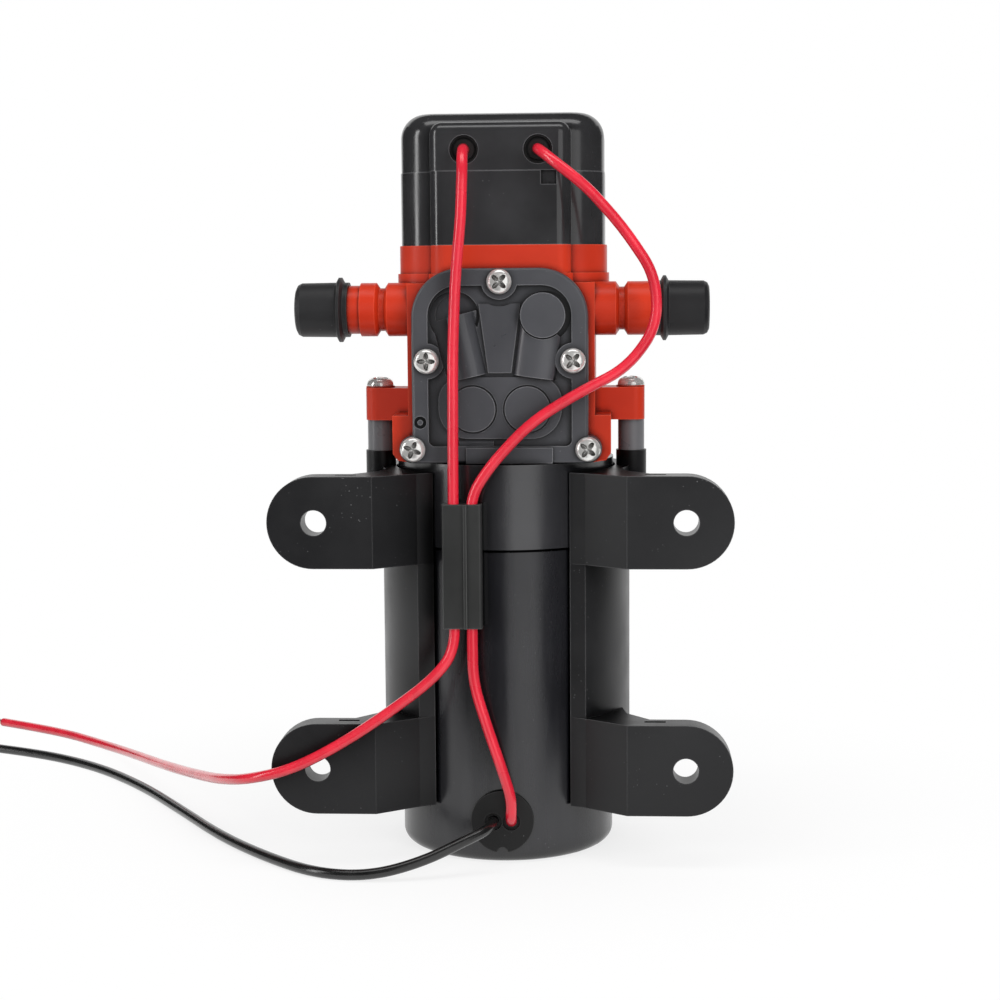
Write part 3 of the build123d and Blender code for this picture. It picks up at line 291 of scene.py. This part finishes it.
# %% Closed solids to add and to cut with
def reworked(mesh, job):
    worked = bmesh.new()
    worked.from_mesh(mesh)
    job(worked)
    worked.to_mesh(mesh)
    worked.free()


def solid_between(name, first, second):
    # Two outlines with the same number of points, in millimetres, become one closed solid.
    count = len(first)
    places = [(x / 1000, y / 1000, z / 1000) for x, y, z in first + second]
    faces = [list(range(count)), list(range(count, 2 * count))]
    faces += [[step, (step + 1) % count, count + (step + 1) % count, count + step]
              for step in range(count)]
    mesh = bpy.data.meshes.new(name)
    mesh.from_pydata(places, [], faces)
    reworked(mesh, lambda worked: bmesh.ops.recalc_face_normals(worked, faces=worked.faces))
    piece = bpy.data.objects.new(name, mesh)
    bpy.context.scene.collection.objects.link(piece)
    return piece


def prism(name, outline, front, back):
    # The outline lies in x and z, and the prism runs from front to back along y.
    return solid_between(name, *([(x, y, z) for x, z in outline] for y in (front, back)))


def half_round(name, top, bottom, half_width, base, crest):
    # A bar with a rounded front that runs from top to bottom, both given in x and z.
    steps, foot_depth = 30, 0.7
    along = (Vector(bottom) - Vector(top)).normalized()
    profile = [(half_width * math.cos(math.pi * step / steps),
                base - (base - crest) * math.sin(math.pi * step / steps))
               for step in range(steps + 1)]
    profile += [(-half_width, base + foot_depth), (half_width, base + foot_depth)]
    return solid_between(name, *(
        [(end[0] - along.y * across, y, end[1] + along.x * across) for across, y in profile]
        for end in (top, bottom)))


def arc(centre, radius, start, end, steps=36):
    angles = [math.radians(start + (end - start) * step / steps) for step in range(steps + 1)]
    return [(centre[0] + radius * math.cos(angle), centre[1] + radius * math.sin(angle))
            for angle in angles]


def crescent(name, outer_centre, outer, inner_centre, inner, span, floor_level):
    outline = arc(outer_centre, outer, *span) + arc(inner_centre, inner, *span)[::-1]
    return prism(name, outline, cut_front, floor_level)


# %% Forms of the ducts
# Lengths are in millimetres and angles in degrees. y grows away from the viewer.
duct_lean, moat_opening = 14.7, 50.0
duct_top_x, duct_top_z = 9.35, 120.1
duct_radius, disc_radius, moat_radius, groove_width = 4.5, 4.84, 5.5, 0.32
cut_front, moat_floor, seat_floor, groove_floor = -24.0, -19.5, -19.3, -21.2
duct_base, duct_crest, disc_front = -20.5, -22.5, -22.75
wide_duct_foot, wide_duct_half = (7.5, 106.7), 4.55
moat_shift_x, moat_shift_z, moat_overlap = 0.5, 0.3, 0.1
left_top, right_top = (-duct_top_x, duct_top_z), (duct_top_x, duct_top_z)
left_far, right_far = ((side * (duct_top_x + moat_shift_x), duct_top_z - moat_shift_z)
                       for side in (-1, 1))
right_span = (moat_opening - 90 - duct_lean, 270 - duct_lean - moat_opening)
left_span = (180 - right_span[1], 180 - right_span[0])
groove_span = (195, 320)
left_channel = [(-14.67, 118.71), (-11.3, 119.6), (-9.0, 107.8), (-11.62, 107.1)]
print("duct tops", left_top, right_top)

# %% Pieces to add and to cut with
added = [
    half_round("wide_duct", right_top, wide_duct_foot, wide_duct_half, duct_base, duct_crest),
    prism("end_disc", arc(right_top, disc_radius, 0, 360, 72)[:-1], disc_front, duct_base)]
cutters = [
    prism("duct_seat", arc(left_top, duct_radius, duct_lean, 180 + duct_lean),
          cut_front, seat_floor),
    crescent("right_moat", right_far, moat_radius, right_top, disc_radius, right_span,
             moat_floor),
    crescent("disc_groove", right_top, disc_radius + groove_width, right_top, disc_radius,
             groove_span, groove_floor),
    crescent("left_moat", left_far, moat_radius, left_top, duct_radius - moat_overlap,
             left_span, moat_floor),
    prism("left_channel", left_channel, cut_front, moat_floor)]
print("added", len(added), "cutters", len(cutters))

# %% Carve the cover
cover_mesh = nodes["manifold_cover"].data.copy()
reworked(cover_mesh, lambda worked: bmesh.ops.remove_doubles(
    worked, verts=worked.verts, dist=1e-7))
blank = bpy.data.objects.new("cover_blank", cover_mesh)
bpy.context.scene.collection.objects.link(blank)
for tool in added + cutters:
    cut = blank.modifiers.new(tool.name, "BOOLEAN")
    cut.operation = "UNION" if tool in added else "DIFFERENCE"
    cut.solver = "EXACT"
    cut.object = tool
carved = finished_mesh(blank)
for piece in [blank] + added + cutters:
    bpy.data.objects.remove(piece)
print("carved faces", len(carved.polygons))


# %% Shade the carved cover
# Thin triangles are joined to whole faces first, or the shading shows their pattern.
def join_flat_faces(worked):
    bmesh.ops.dissolve_degenerate(worked, edges=worked.edges, dist=1e-6)
    bmesh.ops.dissolve_limit(worked, angle_limit=math.radians(0.6), verts=worked.verts,
                             edges=worked.edges)


reworked(carved, join_flat_faces)
carved.shade_smooth()
carved.set_sharp_from_angle(angle=math.radians(18))
smooth = bpy.data.objects.new("cover_smooth", carved)
bpy.context.scene.collection.objects.link(smooth)
weigh = smooth.modifiers.new("weigh", "WEIGHTED_NORMAL")
weigh.weight = 50
weigh.keep_sharp = True
carved = finished_mesh(smooth)
bpy.data.objects.remove(smooth)
cover_piece = bpy.data.objects.new("carved_cover", carved)
bpy.context.scene.collection.objects.link(cover_piece)
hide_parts("manifold_cover")
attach(cover_piece, "pump")
open_edges = sum(1 for count in Counter(
    key for face in carved.polygons for key in face.edge_keys).values() if count != 2)
print("cover faces", len(carved.polygons), "open edges", open_edges)

# %% [markdown]
# ## Surface recipes
# Every material starts from the same small toolkit: the object's own coordinates, a few
# noise patterns at the scale of the real surface, and a bump. The nodes could be linked one
# by one for each material, but a small class with a plain word for each step keeps them
# readable and alike. Nothing follows the camera.

# %% A new material
class Nodes:
    def __init__(self, name):
        self.material = bpy.data.materials.new(name)
        self.material.use_nodes = True
        self.tree = self.material.node_tree
        self.shader = self.tree.nodes["Principled BSDF"]
        self.place = self.add("ShaderNodeTexCoord").outputs["Object"]

    def add(self, kind, **values):
        node = self.tree.nodes.new(kind)
        for key, value in values.items():
            setattr(node, key, value)
        return node

    def join(self, source, target):
        self.tree.links.new(source, target)


# %% Patterns and how they mix
class Patterns(Nodes):
    def stretched(self, scale):
        mapping = self.add("ShaderNodeMapping")
        mapping.inputs["Scale"].default_value = scale
        self.join(self.place, mapping.inputs["Vector"])
        return mapping.outputs["Vector"]

    def noise(self, scale, detail=3.0, rough=0.5, vector=None):
        node = self.add("ShaderNodeTexNoise")
        node.inputs["Scale"].default_value = scale
        node.inputs["Detail"].default_value = detail
        node.inputs["Roughness"].default_value = rough
        self.join(vector or self.place, node.inputs["Vector"])
        return node.outputs["Fac"]

    def specks(self, scale, size):
        node = self.add("ShaderNodeTexVoronoi")
        node.inputs["Scale"].default_value = scale
        self.join(self.place, node.inputs["Vector"])
        stops = [(0.0, 1.0), (size, 1.0), (size * 1.6, 0.0)]
        return self.ramp(node.outputs["Distance"], stops)

    def ramp(self, source, stops):
        node = self.add("ShaderNodeValToRGB")
        band = node.color_ramp
        while len(band.elements) < len(stops):
            band.elements.new(0.5)
        for element, (position, value) in zip(band.elements, stops):
            element.position = position
            level = value if isinstance(value, tuple) else (value, value, value)
            element.color = (*level, 1.0)
        self.join(source, node.inputs["Fac"])
        return node.outputs["Color"]

    def blend(self, factor, first, second):
        node = self.add("ShaderNodeMix", data_type="RGBA")
        for socket, value in ((node.inputs[0], factor), (node.inputs[6], first),
                              (node.inputs[7], second)):
            if isinstance(value, (int, float)):
                socket.default_value = value
            elif isinstance(value, tuple):
                socket.default_value = (*value, 1.0)
            else:
                self.join(value, socket)
        return node.outputs[2]

    def sum(self, first, second, share):
        node = self.add("ShaderNodeMath", operation="MULTIPLY_ADD")
        self.join(second, node.inputs[0])
        node.inputs[1].default_value = share
        self.join(first, node.inputs[2])
        return node.outputs[0]


# %% [markdown]
# ## Painted rim light, painted shade and the last step
# Real mouldings catch light on their rims and are darker in their corners, and here both are
# painted into the colour: a painted highlight on the rims and painted shade in the corners.
# They could be painted on each mesh. The Bevel and Ambient Occlusion nodes find the rims and
# the corners of any shape by themselves, so one recipe fits all the pieces.

# %% Rims, corners, relief and finish
class Recipe(Patterns):
    def edges(self, radius):
        # Painted highlight on rims: where a rounded normal differs from the true one.
        bevel = self.add("ShaderNodeBevel", samples=4)
        bevel.inputs["Radius"].default_value = radius
        flat = self.add("ShaderNodeNewGeometry")
        turn = self.add("ShaderNodeVectorMath", operation="DOT_PRODUCT")
        self.join(bevel.outputs["Normal"], turn.inputs[0])
        self.join(flat.outputs["Normal"], turn.inputs[1])
        return self.ramp(turn.outputs["Value"], [(0.86, 1.0), (0.99, 0.0)])

    def painted_corner_shade(self, width, depth):
        # Painted shade: corners narrower than this width are darkened.
        node = self.add("ShaderNodeAmbientOcclusion", samples=5)
        node.inputs["Distance"].default_value = width
        return self.ramp(node.outputs["AO"], [(depth - 0.5, 1.0), (depth, 0.0)])

    def bump(self, height, strength, distance):
        node = self.add("ShaderNodeBump")
        node.inputs["Strength"].default_value = strength
        node.inputs["Distance"].default_value = distance
        self.join(height, node.inputs["Height"])
        self.join(node.outputs["Normal"], self.shader.inputs["Normal"])

    def finish(self, colour, rough, metal=0.0, **sockets):
        target = self.shader.inputs["Base Color"]
        if isinstance(colour, tuple):
            target.default_value = (*colour, 1.0)
        else:
            self.join(colour, target)
        target = self.shader.inputs["Roughness"]
        if isinstance(rough, float):
            target.default_value = rough
        else:
            self.join(rough, target)
        self.shader.inputs["Metallic"].default_value = metal
        for name, value in sockets.items():
            self.shader.inputs[name.replace("_", " ")].default_value = value
        return self.material


# %% [markdown]
# ## Moulded plastics and rubber
# Nearly all of the pump is injection moulded: a satin black cradle, a glossy black switch and
# motor sleeve, a grey cover, an orange head and rubber caps. A photograph could be laid on
# them, but it would fit one side only. Here the colour drifts a little, dust lies in patches,
# shade is painted into the corners, a highlight is painted along the edges and the skin has a
# fine grain, at their true scale. One function makes them all, so that each plastic is one
# line.

# %% Recipe for mouldings
def moulded(name, dark, light, rough_low, rough_high, grain=1600.0, grain_depth=0.00002,
            painted_rim_light=None, dust=0.0, hollow=0.0, depth=0.92, shine=0.5, seam=None, wide=0.0,
            flow=None):
    # The colour drifts slowly, over one to two centimetres.
    recipe = Recipe(name)
    colour = recipe.ramp(recipe.noise(45.0, 4.0, 0.6), [(0.35, dark), (0.68, light)])
    if dust:
        # Small pale specks, but only where a larger pattern lets them lie.
        spots = recipe.specks(900.0, 0.07)
        gate = recipe.ramp(recipe.noise(120.0, 2.0), [(0.55, 0.0), (0.68, dust)])
        both = recipe.add("ShaderNodeMath", operation="MULTIPLY")
        recipe.join(spots, both.inputs[0])
        recipe.join(gate, both.inputs[1])
        colour = recipe.blend(both.outputs[0], colour, (0.35, 0.35, 0.36))
    if painted_rim_light:
        # Painted highlight: rims catch the light and show as a paler line.
        colour = recipe.blend(recipe.edges(0.00035), colour, painted_rim_light)
    if wide:
        # Painted shade: corners are darker, a little over a wide reach and more close by.
        dim = tuple(0.5 * value for value in dark)
        colour = recipe.blend(recipe.painted_corner_shade(wide, 0.97), colour, dim)
    # The deeper painted shade close in to the corners.
    if hollow:
        deep = tuple(0.15 * value for value in dark)
        colour = recipe.blend(recipe.painted_corner_shade(hollow, depth), colour, deep)
    if seam:
        # Painted shade: a thin dark line along the join of sleeve and bell, where the bell's
        # rim shades the sleeve.
        height = recipe.add("ShaderNodeSeparateXYZ")
        recipe.join(recipe.place, height.inputs[0])
        line = recipe.add("ShaderNodeMath", operation="COMPARE")
        recipe.join(height.outputs["Z"], line.inputs[0])
        line.inputs[1].default_value = seam
        line.inputs[2].default_value = 0.0003
        colour = recipe.blend(line.outputs[0], colour, (0.002, 0.002, 0.002))
        # A metal of this dark colour mirrors nothing, as the bottom of a narrow gap does, so
        # the painted shade line shows no reflection.
        recipe.join(line.outputs[0], recipe.shader.inputs["Metallic"])
    patches = recipe.noise(90.0, 3.0)
    if flow:
        # The melt ran along the mould, and left streaks of duller and brighter skin.
        patches = recipe.noise(1.0, 4.0, 0.6, recipe.stretched(flow))
    rough = recipe.ramp(patches, [(0.3, rough_low), (0.7, rough_high)])
    # The relief is a fine grain on slow waves, a few hundredths of a millimetre deep.
    height = recipe.sum(recipe.noise(grain, 2.0), recipe.noise(160.0, 2.0), 0.8)
    recipe.bump(height, 0.35, grain_depth)
    return recipe.finish(colour, rough, Specular_IOR_Level=shine)


# %% [markdown]
# ## Wire skins and metals
# Wire insulation is soft PVC with a shiny skin that is drawn out along the wire, so its noise
# is stretched and a clear coat lies on top. The metals are plated screws, turned steel,
# copper, brass and tinned strands. Scratches could be painted on by hand, but noise stretched
# in one direction scatters them in the roughness, and draws out the highlights as brushing
# does. The screws keep a share of plain colour, because their plating is dull.

# %% Recipes for wires and metals
def insulation(name, dark, light, rough, coat):
    recipe = Recipe(name)
    streak = recipe.noise(1.0, 3.0, 0.5, recipe.stretched((260.0, 260.0, 60.0)))
    colour = recipe.ramp(streak, [(0.35, dark), (0.65, light)])
    recipe.bump(recipe.noise(420.0, 3.0), 0.3, 0.00006)
    shine = recipe.ramp(recipe.noise(150.0, 2.0), [(0.3, rough), (0.7, rough + 0.09)])
    return recipe.finish(colour, shine, Coat_Weight=coat, Coat_Roughness=0.18)


def metal(name, dark, light, rough_low, rough_high, lines=(40.0, 40.0, 2200.0), hollow=0.0,
          bare=1.0):
    recipe = Recipe(name)
    scratch = recipe.noise(1.0, 3.0, 0.6, recipe.stretched(lines))
    stain_and_corner_shade = recipe.ramp(recipe.noise(260.0, 3.0), [(0.35, dark), (0.65, light)])
    rough = recipe.ramp(scratch, [(0.3, rough_low), (0.7, rough_high)])
    recipe.bump(scratch, 0.2, 0.00001)
    # Painted shade: recesses such as the cross of a screw are darkened.
    if hollow:
        stain_and_corner_shade = recipe.blend(recipe.painted_corner_shade(hollow, 0.85), stain_and_corner_shade, (0.11, 0.105, 0.10))
    return recipe.finish(stain_and_corner_shade, rough, metal=bare)


# %% The plastics and the rubber
bell_seam = reach("motor_cover")[2][1]
print("seam at", round(1000 * bell_seam, 1), "mm")
black = moulded("cradle_black", (0.012, 0.012, 0.013), (0.018, 0.018, 0.019), 0.28, 0.40,
                painted_rim_light=(0.10, 0.10, 0.102), dust=0.5, hollow=0.012, depth=0.97, shine=0.3,
                wide=0.03)
shell = moulded("motor_sleeve", (0.007, 0.007, 0.009), (0.012, 0.012, 0.015), 0.18, 0.33,
                grain=1100.0, dust=0.25, hollow=0.006, shine=0.78, seam=bell_seam,
                flow=(230.0, 230.0, 26.0))
bell = moulded("bell_sleeve", (0.014, 0.014, 0.016), (0.021, 0.021, 0.024), 0.16, 0.29,
               painted_rim_light=(0.05, 0.05, 0.052), hollow=0.006, shine=1.0, seam=bell_seam,
               flow=(230.0, 230.0, 40.0))
orange = moulded("orange_red", (0.45, 0.023, 0.006), (0.53, 0.032, 0.009), 0.32, 0.44,
                 painted_rim_light=(0.72, 0.08, 0.035), hollow=0.0016, depth=0.88, shine=0.28)
cover = moulded("cover_grey", (0.046, 0.047, 0.053), (0.060, 0.061, 0.068), 0.27, 0.38,
                painted_rim_light=(0.20, 0.20, 0.21), dust=0.3, hollow=0.0016, depth=0.96, shine=0.6,
                wide=0.007)
switch = moulded("switch_black", (0.020, 0.020, 0.021), (0.029, 0.029, 0.031), 0.15, 0.23,
                 painted_rim_light=(0.13, 0.13, 0.135), dust=0.2, hollow=0.002, shine=0.7)
collar = moulded("collar_grey", (0.10, 0.10, 0.106), (0.14, 0.14, 0.148), 0.22, 0.32,
                 painted_rim_light=(0.12, 0.12, 0.12))
clip = moulded("clip_black", (0.018, 0.0185, 0.018), (0.028, 0.0285, 0.028), 0.34, 0.46,
               grain=900.0, painted_rim_light=(0.09, 0.092, 0.09), hollow=0.0015)
rubber = moulded("cap_rubber_black", (0.011, 0.011, 0.012), (0.018, 0.018, 0.019), 0.42, 0.56,
                 grain=700.0, grain_depth=0.00004, painted_rim_light=(0.04, 0.04, 0.04), dust=0.35,
                 shine=0.4)
grommet = moulded("grommet_black", (0.005, 0.005, 0.005), (0.010, 0.010, 0.010), 0.42, 0.6,
                  painted_rim_light=(0.03, 0.03, 0.03), dust=0.3, shine=0.3)
seal = moulded("seal_black", (0.003, 0.003, 0.003), (0.007, 0.007, 0.007), 0.4, 0.55)
pump_rubber = moulded("pump_rubber_black", (0.02, 0.02, 0.02), (0.04, 0.04, 0.04), 0.5, 0.7)
pale = moulded("pale_plastic", (0.52, 0.51, 0.47), (0.62, 0.61, 0.57), 0.4, 0.55)
case = moulded("switch_case", (0.05, 0.035, 0.025), (0.08, 0.06, 0.045), 0.35, 0.5)
button = moulded("button_red", (0.45, 0.03, 0.02), (0.55, 0.05, 0.03), 0.35, 0.5)
board = moulded("fibre_board", (0.16, 0.10, 0.05), (0.24, 0.16, 0.08), 0.5, 0.7)
carbon = moulded("brush_carbon", (0.03, 0.03, 0.03), (0.06, 0.06, 0.06), 0.4, 0.7)
ferrite = moulded("magnet_ferrite", (0.05, 0.05, 0.052), (0.09, 0.09, 0.095), 0.5, 0.7)
print("materials so far", len(bpy.data.materials))

# %% The wire skins and the metals
red_skin = insulation("red_insulation_skin", (0.58, 0.010, 0.028), (0.71, 0.016, 0.039),
                      0.22, 0.7)
black_skin = insulation("black_insulation_skin", (0.006, 0.006, 0.006), (0.012, 0.012, 0.012),
                        0.24, 0.5)
bright = metal("screw_bright", (0.72, 0.71, 0.69), (0.90, 0.89, 0.87), 0.15, 0.26,
               hollow=0.0011, bare=0.66)
steel = metal("plain_steel", (0.38, 0.38, 0.39), (0.55, 0.55, 0.56), 0.28, 0.45)
copper = metal("bare_copper", (0.55, 0.24, 0.12), (0.75, 0.36, 0.2), 0.25, 0.45)
winding = metal("wound_copper", (0.42, 0.14, 0.05), (0.62, 0.24, 0.1), 0.3, 0.4,
                lines=(1800.0, 1800.0, 1800.0))
brass = metal("stamped_brass", (0.62, 0.44, 0.16), (0.76, 0.58, 0.26), 0.25, 0.4)
tinned = metal("tinned_strands", (0.5, 0.48, 0.45), (0.72, 0.7, 0.66), 0.25, 0.45,
               lines=(2600.0, 2600.0, 300.0))
print("materials", len(bpy.data.materials))

# %% [markdown]
# ## Dress the parts
# The CAD shapes are right, so they stay, and each takes the surface of what it is made of on
# a pump of this kind. They could be modelled again, which would only risk their fits. The
# parts inside the motor, the valves and the switch are dressed as well, because they show
# when the model is taken apart.

# %% Assign surfaces
finishes = {
    "base_cradle": black, "motor_cover": shell, "end_bell": bell, "lead_grommet": grommet,
    "steel_can": steel, "rear_bearing": steel, "front_bearing": steel,
    "field_magnets": ferrite, "rotor_shaft": steel, "armature_core": steel,
    "armature_windings": winding, "commutator": copper, "brush_plate": board,
    "carbon_brushes": carbon, "eccentric": steel, "drive_bearing": steel,
    "connecting_rod": pale, "diaphragm": pump_rubber, "clamp_washer": pale,
    "drive_screw": steel, "pump_housing": orange, "valve_plate": pale,
    "inlet_valve": pump_rubber, "outlet_valve": pump_rubber, "cover_gasket": pump_rubber,
    "manifold_cover": cover, "spacer_collars": collar, "inlet_cap": rubber,
    "outlet_cap": rubber, "switch_base": switch, "switch_cap": switch, "wire_seals": seal,
    "switch_membrane": pump_rubber, "switch_plunger": pale, "switch_spring": steel,
    "microswitch_case": case, "microswitch_button": button, "switch_terminals": brass,
    "wire_clip": clip, "red_feed_wire": red_skin, "red_motor_wire": red_skin,
    "red_lead_tip": tinned, "black_lead_tip": tinned}
carved.materials.clear()
carved.materials.append(cover)
for name, material in finishes.items():
    mesh = nodes[name].data
    if not mesh.materials:
        mesh.materials.append(material)
    for index in range(len(mesh.materials)):
        mesh.materials[index] = material
for piece, material in ((red_wire, red_skin), (black_wire, black_skin)):
    piece.data.materials.append(material)
print("dressed", len(finishes), "of", len(nodes))

# %% Put the screws in
cover_seats = ((0, 127.3), (-15.8, 110.3), (15.8, 110.3), (-18.95, 91.2), (18.95, 91.2))
cover_places = [(x / 1000, cover_reach[1][0] + cover_height, z / 1000)
                for x, z in cover_seats]
long_x = sum(long_reach[0]) / 2
long_places = [(side * long_x, 0, long_reach[2][1] - long_height) for side in (-1, 1)]
set_screws("cover_screws_piece", cover_places, cover_screw, math.radians(90), 5, bright)
set_screws("long_screws_piece", long_places, long_screw, 0.0, 11, bright)

# %% [markdown]
# ## Floor and white room
# The photograph is cut out on pure white. A white backdrop under strong lamps would look the
# same behind the pump, but its light would wash out the black plastic. Light Path tells the
# camera's rays from the others instead: the camera and the mirrors see a white room, while
# the light that reaches the pump stays plain. Near the motor the floor is partly a real white
# surface, so it keeps the soft shadow.

# %% Helpers for the room
def plain_sheet(name, width, depth, place, turn=(0, 0, 0)):
    mesh = bpy.data.meshes.new(name)
    half_width, half_depth = width / 2, depth / 2
    mesh.from_pydata([(-half_width, -half_depth, 0), (half_width, -half_depth, 0),
                      (half_width, half_depth, 0), (-half_width, half_depth, 0)],
                     [], [(0, 1, 2, 3)])
    sheet = bpy.data.objects.new(name, mesh)
    sheet.location = place
    sheet.rotation_euler = turn
    bpy.context.scene.collection.objects.link(sheet)
    return sheet


def seen_rays(tree):
    paths = tree.nodes.new("ShaderNodeLightPath")
    total = paths.outputs["Is Camera Ray"]
    for label in ("Is Glossy Ray", "Is Transmission Ray"):
        both = tree.nodes.new("ShaderNodeMath")
        both.operation = "ADD"
        both.use_clamp = True
        tree.links.new(total, both.inputs[0])
        tree.links.new(paths.outputs[label], both.inputs[1])
        total = both.outputs[0]
    return total


# %% Floor
floor = plain_sheet("floor", 6.0, 6.0, (0, 0, 0))
floor_paint = Recipe("floor_white")
floor_paint.finish((0.92, 0.92, 0.92), 0.9, Specular_IOR_Level=0.1)
distance = floor_paint.add("ShaderNodeVectorMath", operation="LENGTH")
floor_paint.join(floor_paint.place, distance.inputs[0])
# Within 6 cm of the pump's axis a quarter of the floor is paint that takes the shadow. From
# 15 cm on, the floor is plain white.
far = floor_paint.ramp(distance.outputs["Value"], [(0.06, 0.76), (0.15, 1.0)])
glow = floor_paint.add("ShaderNodeEmission")
near_mix = floor_paint.add("ShaderNodeMixShader")
floor_paint.join(far, near_mix.inputs[0])
floor_paint.join(floor_paint.shader.outputs[0], near_mix.inputs[1])
floor_paint.join(glow.outputs[0], near_mix.inputs[2])
# What the pump receives from below comes from a grey floor, or its underside would glow.
bounce = floor_paint.add("ShaderNodeBsdfDiffuse")
bounce.inputs["Color"].default_value = (0.4, 0.4, 0.4, 1.0)
ray_mix = floor_paint.add("ShaderNodeMixShader")
floor_paint.join(seen_rays(floor_paint.tree), ray_mix.inputs[0])
floor_paint.join(bounce.outputs[0], ray_mix.inputs[1])
floor_paint.join(near_mix.outputs[0], ray_mix.inputs[2])
floor_out = floor_paint.tree.nodes["Material Output"]
floor_paint.join(ray_mix.outputs[0], floor_out.inputs["Surface"])
floor.data.materials.append(floor_paint.material)
print("floor", [round(side, 1) for side in floor.dimensions])

# %% World
world = bpy.data.worlds.new("studio")
bpy.context.scene.world = world
world.use_nodes = True
sky = world.node_tree
back = sky.nodes["Background"]
back.inputs["Color"].default_value = (1.0, 1.0, 1.0, 1.0)
level = sky.nodes.new("ShaderNodeMapRange")
# The camera and the mirrors meet full white, and the pump is lit by a share of it.
level.inputs["To Min"].default_value = 0.62
level.inputs["To Max"].default_value = 1.0
sky.links.new(seen_rays(sky), level.inputs["Value"])
sky.links.new(level.outputs["Result"], back.inputs["Strength"])
print("world nodes", len(sky.nodes))

# %% [markdown]
# ## Dark cards
# Black plastic only looks black where it mirrors something dark. A studio hangs black cards
# around the camera for that. Here they are sheets that only mirror rays meet, so that they
# take no light away and the camera never sees them. A gap of 34 degrees to the right of the
# camera stays white, and it draws the long soft highlight down the motor.

# %% Dark cards
card_paint = Recipe("card_black")
card_paint.finish((0.02, 0.02, 0.02), 0.8)
upright_turn = math.radians(90)
for name, size, place, tilt, side_turn in (
        ("front_card", (1.82, 1.6), (-0.79, -1.7, 0.5), upright_turn, 0),
        ("left_card", (3.8, 1.6), (-1.7, 0.2, 0.5), upright_turn, -90),
        ("right_card", (3.8, 1.6), (1.7, 0.0, 0.5), upright_turn, 90),
        ("top_card", (3.4, 3.0), (0, -0.2, 1.3), 0, 0),
        ("left_floor_card", (1.5, 1.5), (-0.688, -0.910, 0.0006), 0, 4),
        ("right_floor_card", (0.6, 1.5), (0.766, -0.493, 0.0006), 0, 38)):
    card = plain_sheet(name, *size, place, (tilt, 0, math.radians(side_turn)))
    card.data.materials.append(card_paint.material)
    card.visible_camera = False
    card.visible_diffuse = False
    card.visible_shadow = False

# %% [markdown]
# ## Lamps
# A photographer lights such a pump with soft boxes, and so does this scene, at a plain level,
# so that a colour renders about as it is written. A picture of a room could light it as well,
# but four lamps are easier to steer. The two strips are mirrored as thin highlights on the
# sleeve and the switch. The two fills are kept out of the mirrors, where they would show as
# patches.

# %% Lamps
def lamp(name, place, size, power, mirrored=True):
    data = bpy.data.lights.new(name, "AREA")
    data.shape = "RECTANGLE"
    data.size, data.size_y = size
    data.energy = power
    light = bpy.data.objects.new(name, data)
    light.location = place
    light.rotation_euler = (lamp_aim - Vector(place)).to_track_quat("-Z", "Y").to_euler()
    light.visible_camera = False
    light.visible_glossy = mirrored
    bpy.context.scene.collection.objects.link(light)


lamp_aim = Vector((0, 0, 0.08))
lamp("right_fill", (0.62, -0.78, 0.3), (0.4, 0.9), 7.8, mirrored=False)
lamp("left_strip", (-0.95, -0.45, 0.3), (0.2, 0.9), 3.2)
lamp("top_strip", (0.0, -0.2, 1.0), (0.9, 0.3), 2.2)
lamp("front_fill", (-0.4, -1.1, 0.3), (0.9, 0.9), 4.0, mirrored=False)
bpy.context.scene.view_settings.view_transform = "Standard"
